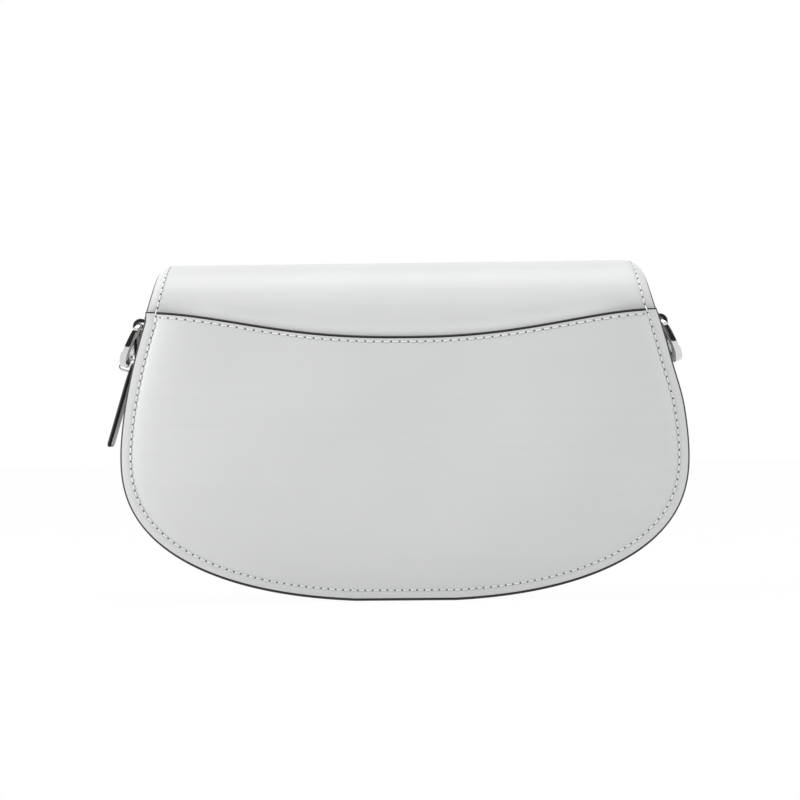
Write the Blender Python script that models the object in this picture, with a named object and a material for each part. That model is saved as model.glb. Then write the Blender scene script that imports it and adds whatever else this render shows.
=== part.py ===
# Half-moon crossbody bag with a flap, a slip pocket on its back and a ring on each side.
# Metres, +Z up. X runs across the bag and the slip pocket faces -Y. The bag stands on the edges of
# its front and back panels, and the origin is the middle of the back panel's bottom edge.

import math

import bmesh
import bpy
from mathutils import Matrix, Vector

# Outline of the panels, over their painted edges
panel_width = 0.250
widest_height = 0.064
lower_curve_power = 2.4
upper_curve_power = 1.65
base_flat_width = 0.044
fold_height = 0.1284
fold_inset = 0.0129

# Layers
gap = 0.0003
leather = 0.0016
lining = 0.0005
gusset_leather = 0.0014

# Gusset: a channel whose flanges are sewn to the panels, edges out
gusset_width = 0.040
seam_allowance = 0.005
gusset_bulge = 0.0010
gusset_below_fold = 0.0024

# Domes of the stuffed panels, measured from their sewn edges
flat_edge = 0.006
dome_reach = 0.060
fold_reach = 0.008
dome_power = 2.2
pocket_dome = 0.006
front_dome = 0.005
dome_fade_height = 0.074
pocket_mouth_dome_share = 0.78
front_mouth_dome_share = 0.42

# Mouths of the bag and of the slip pocket
pocket_mouth_below_fold = 0.0008
pocket_mouth_sag = 0.0115
front_mouth_sag = 0.005
mouth_curve_power = 2.4

# Flap
flap_rise = 0.0216
flap_top_inset = 0.0071
flap_front_inset = 0.0012
flap_widest_height = 0.086
flap_bottom = 0.034
flap_bottom_flat_width = 0.050
flap_standoff = 0.0008
flap_corner_droop = 0.0022
flap_corner_width = 0.011

# Magnetic snap between the front panel and the flap
snap_height = 0.058
snap_diameter = 0.014
socket_thickness = 0.003
socket_hole_diameter = 0.0072
socket_hole_depth = 0.0018
socket_chamfer = 0.0006
stud_disc_thickness = 0.0012
stud_diameter = 0.0044
stud_height = 0.0014
washer_diameter = 0.012
washer_thickness = 0.0008
washer_hole_diameter = 0.005

# Inner slip pocket on the back lining
inner_pocket_width = 0.130
inner_pocket_bottom = 0.038
inner_pocket_below_fold = 0.0204
inner_pocket_corner = 0.014
inner_pocket_cloth = 0.0006
inner_pocket_hem = 0.004
inner_pocket_dome = 0.0052
inner_pocket_reach = 0.018

# Base board, lying on the lining, its length measured along the panels' edges
base_board_length = 0.110
base_board_width = 0.034
base_board_thickness = 0.001

# Rings and their leather loops, the rings hanging a little off the slope of the sides.
# The left ring is pulled down and out by its tag
left_ring_below_fold = 0.0076
right_ring_below_fold = 0.0062
left_ring_standoff = 0.0027
right_ring_standoff = -0.0002
ring_inner_width = 0.020
ring_drop = 0.0182
ring_square_height = 0.006
ring_crown_power = 3.0
ring_bow = 0.0012
ring_bow_power = 4
ring_bar_diameter = 0.0026
ring_limb_width = 0.0031
ring_crown_width = 0.0039
ring_crown_thickness = 0.0030
ring_edge_bevel = 0.0006
left_ring_splay = math.radians(6.8)
right_ring_splay = math.radians(7.4)
loop_leather = 0.00145
loop_width = 0.016
loop_eye_radius = 0.0021
loop_tail = 0.0125
loop_slit = 0.0001

# Hang tag and its link
tag_width = 0.020
tag_top_width = 0.009
tag_shoulder = 0.0075
tag_length = 0.039
tag_thickness = 0.0018
tag_corner = 0.003
tag_top_rise = 0.0016
tag_offset = 0.0035
tag_hole_diameter = 0.0028
tag_splay = math.radians(-0.5)
link_wire = 0.001
link_half_height = 0.0028
link_power = 4.0

# How finely curves are drawn
side_steps = 5
lower_steps = 11
mouth_steps = 14
arch_steps = 10
drop_steps = 9
board_steps = 5
web_steps = 6
turn_sides = 20
hole_sides = 16
sharp_angle = math.radians(40)

overrun = 0.002
slope_step_share = 0.0002

# Heights and widths that go with the fold
fold_width = panel_width - 2 * fold_inset
flap_top_width = fold_width - 2 * flap_top_inset
overall_height = fold_height + flap_rise
pocket_mouth_height = fold_height - pocket_mouth_below_fold
gusset_top = fold_height - gusset_below_fold
inner_pocket_top = fold_height - inner_pocket_below_fold
left_ring_height = fold_height - left_ring_below_fold
right_ring_height = fold_height - right_ring_below_fold

# Where each layer lies, measured from the middle between the panels
lining_face = gusset_width / 2 + gap
panel_face = lining_face + lining + gap
panel_outer = panel_face + leather
pocket_lining_face = panel_outer + gap
pocket_face = pocket_lining_face + lining + gap
pocket_outer = pocket_face + leather
web_depth = seam_allowance + gusset_leather
washer_room = washer_thickness + 2 * gap
stand_y = (panel_face + panel_outer) / 2


def smooth(share):
    """0 to 1 with flat ends."""
    share = min(max(share, 0), 1)
    return share * share * (3 - 2 * share)


# Outline

def side_half_width(z):
    """Half the width of the panels at a height above their widest place."""
    share = max(z - widest_height, 0) / (fold_height - widest_height)
    return (panel_width - (panel_width - fold_width) * share**upper_curve_power) / 2


def lower_curve(half_width, height, power, flat_width, steps, top_width=None):
    """Points (x, z) of the right lower quarter of a half-moon, down to its flat base.

    They start at its side, or lower down where it is top_width wide.
    """
    flat_angle = math.acos((flat_width / 2 / half_width) ** (power / 2))
    top_angle = math.acos((top_width / 2 / half_width) ** (power / 2)) if top_width else 0
    lowest_share = math.sin(flat_angle) ** (2 / power)
    depth = height / lowest_share
    points = []
    for step in range(steps + 1):
        angle = top_angle + (flat_angle - top_angle) * step / steps
        x = half_width * math.cos(angle) ** (2 / power)
        points.append((x, height - depth * math.sin(angle) ** (2 / power)))
    return points


def right_edge(top):
    """Points (x, z) of the panels' edge, from a height on its right side down to its flat base."""
    points = [(side_half_width(top), top)] if top > gusset_top else []
    for step in range(side_steps):
        z = gusset_top + (widest_height - gusset_top) * step / side_steps
        points.append((side_half_width(z), z))
    return points + lower_curve(
        panel_width / 2, widest_height, lower_curve_power, base_flat_width, lower_steps
    )


def panel_edge(top):
    """The whole edge below a height, from its left end round the base to its right end."""
    right = right_edge(top)
    return [(-x, z) for x, z in right] + list(reversed(right))


def edge_normals(points):
    """Unit normals to the right of each point's way along an open path."""
    normals = []
    last = len(points) - 1
    for i in range(last + 1):
        before = Vector(points[max(i - 1, 0)])
        way = Vector(points[min(i + 1, last)]) - before
        normals.append(Vector((way.y, -way.x)).normalized())
    return normals


sewn_edge = panel_edge(fold_height)


def distance_to(path, x, z):
    """Distance from a point to a path of (x, z) points."""
    here = Vector((x, z))
    nearest = math.inf
    for start, end in zip(path, path[1:]):
        first = Vector(start)
        way = Vector(end) - first
        share = min(max((here - first).dot(way) / way.length_squared, 0), 1)
        nearest = min(nearest, (first + way * share - here).length)
    return nearest


def dome_share(x, z):
    """How far a stuffed panel has risen between its sewn edge, 0, and its middle, 1."""
    inside = distance_to(sewn_edge, x, z) - flat_edge
    share = min(max(inside / dome_reach, 0), 1)
    return 1 - (1 - share) ** dome_power


def dome(x, z, height, mouth_share, mouth_height):
    """Height of a panel's dome, which fades towards its mouth."""
    fade = smooth((z - dome_fade_height) / (mouth_height - dome_fade_height))
    return height * dome_share(x, z) * (1 - (1 - mouth_share) * fade)


def pocket_surface(x, z):
    return dome(x, z, pocket_dome, pocket_mouth_dome_share, pocket_mouth_height)


def front_surface(x, z, height):
    return dome(x, z, height, front_mouth_dome_share, fold_height)


# Solids

def material(name, colour, roughness, metallic=0.0):
    found = bpy.data.materials.new(name)
    found.use_nodes = True
    shader = found.node_tree.nodes["Principled BSDF"]
    shader.inputs["Base Color"].default_value = (*colour, 1)
    shader.inputs["Roughness"].default_value = roughness
    shader.inputs["Metallic"].default_value = metallic
    return found


def add_object(name, data, look):
    data.materials.append(look)
    obj = bpy.data.objects.new(name, data)
    bpy.context.scene.collection.objects.link(obj)
    if isinstance(data, bpy.types.Mesh):
        data.shade_smooth()
        data.set_sharp_from_angle(angle=sharp_angle)
    return obj


def finish_mesh(name, mesh, look):
    bmesh.ops.recalc_face_normals(mesh, faces=mesh.faces)
    data = bpy.data.meshes.new(name)
    mesh.to_mesh(data)
    mesh.free()
    return add_object(name, data, look)


def two_sided(name, near, far, faces, look):
    """A closed skin between two equal sets of points, with a rim round the open edge of their faces."""
    mesh = bmesh.new()
    near_points = [mesh.verts.new(point) for point in near]
    far_points = [mesh.verts.new(point) for point in far]
    used = []
    for face in faces:
        used += zip(face, face[1:] + face[:1])
        # The same diagonal on every layer keeps neighbours parallel
        for i in range(1, len(face) - 1):
            corners = (face[0], face[i], face[i + 1])
            mesh.faces.new([near_points[corner] for corner in corners])
            mesh.faces.new([far_points[corner] for corner in reversed(corners)])
    inner = set(used)
    for start, end in used:
        if (end, start) not in inner:
            mesh.faces.new(
                (near_points[end], near_points[start], far_points[start], far_points[end])
            )
    return finish_mesh(name, mesh, look)


def sheet(name, right, insets, column_shares, sag, near_y, far_y, look):
    """A sheet of leather or cloth with sewn sides and base, and a mouth that sags between them.

    right holds the (x, z) points of its right edge from the top down to the flat base. Each row of
    the sheet starts and ends with the same insets from that edge.
    """
    top_x, top = right[0]
    lowest_side = widest_height if top > widest_height else right[-1][1]
    places = []
    for i, ((x, z), normal) in enumerate(zip(right, edge_normals(right))):
        outward = Vector((1, 0)) if i == 0 else Vector((-normal.x, -normal.y))
        side = [(x - outward.x * depth, z - outward.y * depth) for depth in insets]
        inner_x, inner_z = side[-1]
        row = [(-side_x, side_z) for side_x, side_z in side]
        row += [(inner_x * share, inner_z) for share in column_shares]
        row += list(reversed(side))
        for across, height in row:
            fade = max(height - lowest_side, 0) / (top - lowest_side)
            share = min(abs(across) / top_x, 1)
            drop = sag * (1 - share**mouth_curve_power) ** 2
            places.append((across, height - drop * fade))
    count = 2 * len(insets) + len(column_shares)
    faces = []
    for row in range(len(right) - 1):
        for i in range(count - 1):
            low = row * count + i
            faces.append([low, low + 1, low + count + 1, low + count])
    # The strips under the lowest row, down to the base
    low = (len(right) - 1) * count
    for i in range(len(insets) - 1):
        inner = [low + i + 1, low + count - 2 - i]
        if i == len(insets) - 2:
            inner = list(range(low + i + 1, low + count - 1 - i))
        faces.append([low + i] + inner + [low + count - 1 - i])
    near = [Vector((x, near_y(x, z), z)) for x, z in places]
    far = [Vector((x, far_y(x, z), z)) for x, z in places]
    return two_sided(name, near, far, faces, look)


def sweep(name, sections, look):
    """A closed solid through equal closed sections, capped at both ends."""
    mesh = bmesh.new()
    loops = [[mesh.verts.new(point) for point in section] for section in sections]
    count = len(loops[0])
    for first, second in zip(loops, loops[1:]):
        for i in range(count):
            after = (i + 1) % count
            mesh.faces.new((first[i], first[after], second[after], second[i]))
    mesh.faces.new(loops[0])
    mesh.faces.new(list(reversed(loops[-1])))
    return finish_mesh(name, mesh, look)


def along_edge(name, path, profile, look):
    """Sweeps a profile of (outward, y) points along a path of (x, z) points."""
    sections = []
    for (x, z), normal in zip(path, edge_normals(path)):
        sections.append(
            [Vector((x + normal.x * out, y, z + normal.y * out)) for out, y in profile]
        )
    return sweep(name, sections, look)


def turned(name, profile, centre, look):
    """A turned piece about the Y axis through its centre, from closed profile points (radius, y)."""
    mesh = bmesh.new()
    on_axis = {y: mesh.verts.new(centre + Vector((0, y, 0))) for radius, y in profile if radius == 0}
    rings = []
    for step in range(turn_sides):
        angle = 2 * math.pi * step / turn_sides
        ring = []
        for radius, y in profile:
            spot = Vector((radius * math.cos(angle), y, radius * math.sin(angle)))
            ring.append(mesh.verts.new(centre + spot) if radius else on_axis[y])
        rings.append(ring)
    count = len(profile)
    for step in range(turn_sides):
        first = rings[step]
        second = rings[(step + 1) % turn_sides]
        for i in range(count):
            after = (i + 1) % count
            corners = []
            for corner in (first[i], first[after], second[after], second[i]):
                if corner not in corners:
                    corners.append(corner)
            if len(corners) > 2:
                mesh.faces.new(corners)
    return finish_mesh(name, mesh, look)


# Panels and linings

flat_insets = [0]
domed_insets = [0, flat_edge, flat_edge + fold_reach]
flat_column_shares = []
domed_column_shares = [-0.75, -0.5, -0.25, 0, 0.25, 0.5, 0.75]


def panel(name, top, sag, near_y, far_y, look, trim=0.0, flat=False):
    """A half-moon panel with a sagging top edge, its edge trimmed back where it is a lining."""
    right = right_edge(top)
    if trim:
        ways = edge_normals(right)
        right = [(x + n.x * trim, z + n.y * trim) for (x, z), n in zip(right, ways)]
        right[0] = (right[0][0], top - trim)
    insets = flat_insets if flat else [0] + [depth - trim for depth in domed_insets[1:]]
    columns = flat_column_shares if flat else domed_column_shares
    sheet(name, right, insets, columns, sag, near_y, far_y, look)


def back_shell(white, pale, cloth):
    panel(
        "back_panel", fold_height - gap, 0,
        lambda x, z: -panel_outer, lambda x, z: -panel_face, white, flat=True,
    )
    panel(
        "back_lining", fold_height - gap, 0,
        lambda x, z: -lining_face - lining, lambda x, z: -lining_face,
        cloth, trim=lining, flat=True,
    )
    panel(
        "slip_pocket_panel", pocket_mouth_height, pocket_mouth_sag,
        lambda x, z: -pocket_outer - pocket_surface(x, z),
        lambda x, z: -pocket_face - pocket_surface(x, z), white,
    )
    panel(
        "slip_pocket_lining", pocket_mouth_height, pocket_mouth_sag,
        lambda x, z: -pocket_lining_face - lining - pocket_surface(x, z),
        lambda x, z: -pocket_lining_face - pocket_surface(x, z), pale, trim=lining,
    )


def front_shell(white, cloth):
    lining_dome = front_dome - washer_room
    panel(
        "front_panel", gusset_top, front_mouth_sag,
        lambda x, z: panel_outer + front_surface(x, z, front_dome),
        lambda x, z: panel_face + front_surface(x, z, front_dome), white,
    )
    panel(
        "front_lining", gusset_top, front_mouth_sag,
        lambda x, z: lining_face + lining + front_surface(x, z, lining_dome),
        lambda x, z: lining_face + front_surface(x, z, lining_dome), cloth, trim=lining,
    )


def web(out, half_width):
    """Profile points across the bulging web of the gusset, from -Y to +Y."""
    points = []
    bulge_half_width = gusset_width / 2 - gusset_leather
    for step in range(web_steps + 1):
        y = half_width * (2 * step / web_steps - 1)
        bulge = gusset_bulge * (1 - min(abs(y) / bulge_half_width, 1) ** 2)
        points.append((out + bulge, y))
    return points


def gusset_pieces(white, cloth, board):
    half_width = gusset_width / 2
    flange = half_width - gusset_leather
    path = panel_edge(gusset_top)
    outer_web = web(-seam_allowance, flange)
    inner_web = web(-web_depth, flange)
    profile = [(0, -half_width), (0, -flange)] + outer_web
    profile += [(0, flange), (0, half_width), (-web_depth, half_width)]
    profile += list(reversed(inner_web))[1:-1] + [(-web_depth, -half_width)]
    along_edge("gusset", path, profile, white)

    lining_out = -web_depth - gap
    lining_web = web(lining_out, flange)
    lining_profile = lining_web + [(out - lining, y) for out, y in reversed(lining_web)]
    along_edge("gusset_lining", path, lining_profile, cloth)

    board_top = lining_out - lining - gap
    board_web = web(board_top, base_board_width / 2)
    board_profile = board_web + [
        (out - base_board_thickness, y) for out, y in reversed(board_web)
    ]
    right = lower_curve(
        panel_width / 2, widest_height, lower_curve_power, base_flat_width, board_steps,
        base_board_length,
    )
    left = [(-x, z) for x, z in right]
    along_edge("base_board", left + right[::-1], board_profile, board)


def inner_pocket(cloth):
    half_width = inner_pocket_width / 2
    corner_x = half_width - inner_pocket_corner
    corner_z = inner_pocket_bottom + inner_pocket_corner
    side_z = corner_z + (inner_pocket_top - corner_z) / 2
    right = [(half_width, inner_pocket_top), (half_width, side_z)]
    corner_steps = 4
    for step in range(corner_steps + 1):
        angle = math.pi / 2 * step / corner_steps
        x = corner_x + inner_pocket_corner * math.cos(angle)
        right.append((x, corner_z - inner_pocket_corner * math.sin(angle)))
    sewn = [(-x, z) for x, z in right] + list(reversed(right))

    def rise(x, z):
        inside = distance_to(sewn, x, z) - inner_pocket_hem
        return inner_pocket_dome * smooth(inside / inner_pocket_reach)

    far = -lining_face + gap
    insets = [0, inner_pocket_hem, inner_pocket_hem + inner_pocket_reach / 2]
    column_shares = [-0.75, -0.4, 0, 0.4, 0.75]
    sheet(
        "inner_slip_pocket", right, insets, column_shares, 0,
        lambda x, z: far + rise(x, z),
        lambda x, z: far + inner_pocket_cloth + rise(x, z), cloth,
    )


# Flap

def over_snap(surface):
    """Values of a surface at the middle of the snap and round its rim."""
    radius = snap_diameter / 2
    spots = [(0, snap_height), (radius, snap_height)]
    spots += [(0, snap_height - radius), (0, snap_height + radius)]
    return [surface(x, z) for x, z in spots]


# The closed snap fills the room between the front panel and the flap
flap_depth = leather + gap + lining
snap_panel_y = panel_outer + max(over_snap(lambda x, z: front_surface(x, z, front_dome)))
socket_rim_y = snap_panel_y + gap + socket_thickness
snap_lining_y = socket_rim_y + stud_disc_thickness + 2 * gap
flap_lining_dome = (snap_lining_y - panel_outer - flap_standoff) / min(over_snap(dome_share))
flap_leather_dome = flap_lining_dome + washer_room


def flap_rows():
    """(kind, place, half width) of each row of the flap, from the fold over the top to its bottom."""
    rows = []
    front_half_width = side_half_width(fold_height) - flap_front_inset
    for step in range(arch_steps + 1):
        angle = math.pi * step / arch_steps
        share = step / arch_steps
        half_width = fold_width / 2 * (1 - share) + front_half_width * share
        half_width -= (fold_width - flap_top_width) / 2 * math.sin(angle)
        rows.append(("arch", angle, half_width))
    straight_steps = 3
    for step in range(1, straight_steps):
        z = fold_height + (flap_widest_height - fold_height) * step / straight_steps
        rows.append(("drop", z, side_half_width(z) - flap_front_inset))
    bottom = lower_curve(
        side_half_width(flap_widest_height) - flap_front_inset,
        flap_widest_height - flap_bottom, lower_curve_power, flap_bottom_flat_width, drop_steps,
    )
    for x, z in bottom:
        rows.append(("drop", flap_bottom + z, x))
    return rows


def flap_front_y(x, z, depth, height):
    """Y of the flap's front at a depth under its outer face."""
    outer = panel_outer + flap_standoff + flap_depth
    return outer - depth + front_surface(x, min(z, fold_height), height)


def flap_point(kind, place, half_width, column, depth, height):
    x = half_width * column
    if kind == "drop":
        return Vector((x, flap_front_y(x, place, depth, height), place))
    back = -panel_outer + depth
    front = flap_front_y(x, fold_height, depth, height)
    edge = fold_height + gap
    corner = smooth(1 - (half_width - abs(x)) / flap_corner_width)
    top = overall_height - depth - flap_corner_droop * corner
    y = (back + front) / 2 - (front - back) / 2 * math.cos(place)
    return Vector((x, y, edge + (top - edge) * math.sin(place)))


def flap_layer(name, near_depth, far_depth, height, trim, look):
    """One layer of the flap between two depths under its outer face."""
    column_shares = [0, 0.22, 0.44, 0.64, 0.8, 0.9, 0.95, 1]
    columns = [-share for share in reversed(column_shares)] + column_shares[1:]
    near = []
    far = []
    rows = flap_rows()
    for kind, place, half_width in rows:
        for column in columns:
            across = (kind, place, half_width - trim, column)
            near.append(flap_point(*across, near_depth, height))
            far.append(flap_point(*across, far_depth, height))
    count = len(columns)
    faces = []
    for row in range(len(rows) - 1):
        for i in range(count - 1):
            low = row * count + i
            faces.append([low, low + 1, low + count + 1, low + count])
    return two_sided(name, near, far, faces, look)


def flap_pieces(white, pale):
    flap_layer("flap", 0, leather, flap_leather_dome, 0, white)
    flap_layer("flap_lining", leather + gap, flap_depth, flap_lining_dome, lining, pale)


# Magnetic snap

def disc_with_hole(name, outer, hole, near_y, far_y, look):
    profile = [(hole / 2, near_y), (outer / 2, near_y), (outer / 2, far_y), (hole / 2, far_y)]
    turned(name, profile, Vector((0, 0, snap_height)), look)


def snap_pieces(metal):
    centre = Vector((0, 0, snap_height))
    socket_y = snap_panel_y + gap
    rim_y = socket_rim_y
    radius = snap_diameter / 2
    hole = socket_hole_diameter / 2
    turned(
        "snap_socket",
        [(0, socket_y), (radius, socket_y), (radius, rim_y - socket_chamfer),
         (radius - socket_chamfer, rim_y), (hole, rim_y), (hole, rim_y - socket_hole_depth),
         (0, rim_y - socket_hole_depth)],
        centre, metal,
    )
    disc_y = snap_lining_y - gap
    face_y = disc_y - stud_disc_thickness
    stud = stud_diameter / 2
    turned(
        "snap_stud",
        [(0, disc_y), (radius, disc_y), (radius, face_y), (stud, face_y),
         (stud, face_y - stud_height), (0, face_y - stud_height)],
        centre, metal,
    )
    lowest_panel = min(over_snap(lambda x, z: front_surface(x, z, front_dome)))
    behind_panel = panel_face + lowest_panel - gap
    disc_with_hole(
        "snap_socket_washer", washer_diameter, washer_hole_diameter,
        behind_panel - washer_thickness, behind_panel, metal,
    )
    leather_y = min(
        over_snap(lambda x, z: flap_front_y(x, z, leather, flap_leather_dome))
    )
    disc_with_hole(
        "snap_stud_washer", washer_diameter, washer_hole_diameter,
        leather_y - gap - washer_thickness, leather_y - gap, metal,
    )


# Rings, loops and hang tag

def ring_pivot(side):
    """Middle of a ring's straight bar, and the outward normal of the bag's side there."""
    height = right_ring_height if side > 0 else left_ring_height
    standoff = right_ring_standoff if side > 0 else left_ring_standoff
    small = slope_step_share * fold_height
    x = side_half_width(height)
    slope = (side_half_width(height + small) - x) / small
    normal = Vector((1, 0, -slope)).normalized()
    spot = Vector((x, 0, height)) + normal * standoff
    return Vector((side * spot.x, 0, spot.z)), Vector((side * normal.x, 0, normal.z))


def lean_of(side, splay):
    """How far a piece hangs from the vertical, a splay more than the bag's side at its ring."""
    _, normal = ring_pivot(side)
    return math.atan2(normal.z, abs(normal.x)) + splay


def ring_outline():
    """Points (y, drop) round a D ring, its straight bar at drop 0."""
    half_width = (ring_inner_width + ring_bar_diameter) / 2
    corner = ring_bar_diameter
    right = [(0, 0), (half_width - corner, 0)]
    right.append((half_width - corner * (1 - math.sqrt(0.5)), corner * (1 - math.sqrt(0.5))))
    right.append((half_width, corner))
    crown_steps = 7
    depth = ring_drop - ring_square_height
    for step in range(crown_steps + 1):
        angle = math.pi / 2 * step / crown_steps
        y = half_width * math.cos(angle) ** (2 / ring_crown_power) if step < crown_steps else 0
        drop = ring_square_height + depth * math.sin(angle) ** (2 / ring_crown_power)
        right.append((y, drop))
    return right + [(-y, drop) for y, drop in reversed(right[1:-1])]


def bevelled(half_width, half_height, bevel):
    """Eight points round a rectangle with bevelled corners."""
    x = half_width - bevel
    y = half_height - bevel
    return [
        (half_width, y), (x, half_height), (-x, half_height), (-half_width, y),
        (-half_width, -y), (-x, -half_height), (x, -half_height), (half_width, -y),
    ]


def ring_section(drop):
    """Points (across, out) of the ring's section: round at the bar, flat-sided down its limbs."""
    bar = ring_bar_diameter / 2
    limb = smooth(drop / ring_bar_diameter)
    crown = smooth((drop - ring_bar_diameter) / (ring_drop - ring_bar_diameter))
    half_across = bar + (ring_limb_width / 2 - bar) * limb
    half_across += (ring_crown_width - ring_limb_width) / 2 * crown
    half_out = bar + (ring_crown_thickness / 2 - bar) * crown
    round_bevel = ring_bar_diameter * (1 - math.sqrt(0.5))
    return bevelled(half_across, half_out, round_bevel + (ring_edge_bevel - round_bevel) * limb)


def wire(name, points, radius, look):
    """A closed round wire."""
    data = bpy.data.curves.new(name, "CURVE")
    data.dimensions = "3D"
    data.bevel_depth = radius
    data.bevel_resolution = 2
    spline = data.splines.new("POLY")
    spline.points.add(len(points) - 1)
    for point, position in zip(spline.points, points):
        point.co = (*position, 1)
    spline.use_cyclic_u = True
    return add_object(name, data, look)


def place(obj, parent, location, lean):
    obj.parent = parent
    obj.matrix_parent_inverse = Matrix.Identity(4)
    obj.location = location
    obj.rotation_euler = (0, lean, 0)


def empty(name, location, lean, parent=None):
    """An axis that a moving piece turns about."""
    holder = bpy.data.objects.new(name, None)
    bpy.context.scene.collection.objects.link(holder)
    place(holder, parent, location, lean)
    return holder


def d_ring(side_name, side, splay, metal):
    """A D ring, its limbs bowed a little away from the bag."""
    pivot, _ = ring_pivot(side)
    axis = empty("ring_axis_" + side_name, pivot, -side * lean_of(side, splay))
    outline = ring_outline()
    count = len(outline)
    mesh = bmesh.new()
    loops = []
    for i, (y, drop) in enumerate(outline):
        before = Vector(outline[i - 1])
        way = (Vector(outline[(i + 1) % count]) - before).normalized()
        outward = Vector((0, way.y, way.x))
        share = drop / ring_drop
        bow = side * ring_bow * (1 - (2 * share - 1) ** ring_bow_power)
        spot = Vector((bow, y, -drop))
        loop = []
        for across, out in ring_section(drop):
            loop.append(mesh.verts.new(spot + Vector((across, 0, 0)) + outward * out))
        loops.append(loop)
    for i, first in enumerate(loops):
        second = loops[(i + 1) % count]
        for j in range(len(first)):
            after = (j + 1) % len(first)
            mesh.faces.new((first[j], first[after], second[after], second[j]))
    ring = finish_mesh("d_ring_" + side_name, mesh, metal)
    place(ring, axis, (0, 0, 0), 0)
    return axis


def ring_loop(side_name, side, white):
    """A leather tab folded round the ring's bar, its two tails meeting on the gusset."""
    pivot, normal = ring_pivot(side)
    standoff = right_ring_standoff if side > 0 else left_ring_standoff
    up = Vector((-normal.z * side, 0, normal.x * side))
    half = loop_leather / 2
    radius = loop_eye_radius + half
    inner = gusset_bulge - seam_allowance - standoff + gap + half
    outer = inner + loop_leather + loop_slit
    # The tails leave the eye along its tangents
    reach = math.hypot(inner, loop_tail)
    start = 2 * math.pi + math.atan2(-loop_tail, inner) - math.acos(radius / reach)
    reach = math.hypot(outer, loop_tail)
    end = math.atan2(-loop_tail, outer) + math.acos(radius / reach)
    middle = [(inner, -loop_tail)]
    arc_steps = 10
    for step in range(arc_steps + 1):
        angle = start + (end - start) * step / arc_steps
        middle.append((radius * math.cos(angle), radius * math.sin(angle)))
    middle.append((outer, -loop_tail))
    normals = edge_normals(middle)
    band = [(n + d.x * half, t + d.y * half) for (n, t), d in zip(middle, normals)]
    other = [(n - d.x * half, t - d.y * half) for (n, t), d in zip(middle, normals)]
    sections = []
    for y in (-loop_width / 2, loop_width / 2):
        sections.append(
            [pivot + normal * n + up * t + Vector((0, y, 0)) for n, t in band + other[::-1]]
        )
    sweep("ring_loop_" + side_name, sections, white)


def tag_outline():
    """Points (y, z) of the tag: a strip with narrow shoulders and rounded corners."""
    half = tag_width / 2
    top = tag_top_rise
    bottom = top - tag_length
    right = [(tag_top_width / 2, top), (half, top - tag_shoulder)]
    corner_steps = 4
    for step in range(corner_steps + 1):
        angle = -math.pi / 2 * step / corner_steps
        y = half - tag_corner + tag_corner * math.cos(angle)
        right.append((y, bottom + tag_corner + tag_corner * math.sin(angle)))
    return right + [(-y, z) for y, z in reversed(right)]


def hang_tag(ring_axis, white, metal):
    axis = empty("tag_axis", (0, 0, -ring_drop), tag_splay - left_ring_splay, ring_axis)
    half = tag_thickness / 2
    sections = []
    for x in (tag_offset - half, tag_offset + half):
        sections.append([Vector((x, y, z)) for y, z in tag_outline()])
    tag = sweep("hang_tag", sections, white)
    place(tag, axis, (0, 0, 0), 0)

    cutter_data = bpy.data.meshes.new("tag_hole_cutter")
    cutter_mesh = bmesh.new()
    bmesh.ops.create_cone(
        cutter_mesh, cap_ends=True, segments=hole_sides, radius1=tag_hole_diameter / 2,
        radius2=tag_hole_diameter / 2, depth=tag_thickness + 2 * overrun,
        matrix=Matrix.Rotation(math.pi / 2, 4, "Y"),
    )
    cutter_mesh.to_mesh(cutter_data)
    cutter_mesh.free()
    cutter = bpy.data.objects.new("tag_hole_cutter", cutter_data)
    bpy.context.scene.collection.objects.link(cutter)
    place(cutter, axis, (tag_offset, 0, -link_half_height), 0)
    cutter.hide_render = True
    cutter.display_type = "WIRE"
    hole = tag.modifiers.new("hole", "BOOLEAN")
    hole.operation = "DIFFERENCE"
    hole.object = cutter

    left = -(ring_crown_width + link_wire) / 2 - gap
    right = tag_offset + half + gap + link_wire / 2
    points = []
    link_steps = 20
    for step in range(link_steps):
        angle = 2 * math.pi * step / link_steps
        across = abs(math.cos(angle)) ** (2 / link_power) * math.copysign(1, math.cos(angle))
        up = abs(math.sin(angle)) ** (2 / link_power) * math.copysign(1, math.sin(angle))
        points.append(
            ((left + right) / 2 + (right - left) / 2 * across, 0, link_half_height * up)
        )
    link = wire("tag_link", points, link_wire / 2, metal)
    place(link, axis, (0, 0, 0), 0)


def main():
    for obj in list(bpy.data.objects):
        bpy.data.objects.remove(obj, do_unlink=True)
    white = material("white leather", (0.62, 0.64, 0.63), 0.42)
    pale = material("pale lining", (0.55, 0.55, 0.53), 0.7)
    cloth = material("cloth lining", (0.30, 0.30, 0.31), 0.85)
    board = material("covered board", (0.28, 0.28, 0.29), 0.8)
    metal = material("polished metal", (0.80, 0.80, 0.80), 0.08, 1.0)
    back_shell(white, pale, cloth)
    front_shell(white, cloth)
    gusset_pieces(white, cloth, board)
    inner_pocket(cloth)
    flap_pieces(white, pale)
    snap_pieces(metal)
    left_axis = d_ring("left", -1, left_ring_splay, metal)
    d_ring("right", 1, right_ring_splay, metal)
    ring_loop("left", -1, white)
    ring_loop("right", 1, white)
    hang_tag(left_axis, white, metal)
    pieces = [obj for obj in bpy.data.objects if obj.parent is None]
    bag = empty("bag", (0, stand_y, 0), 0)
    for piece in pieces:
        piece.parent = bag


main()
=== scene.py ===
import math
import bpy
import numpy as np
from mathutils import Matrix, Vector


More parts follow.
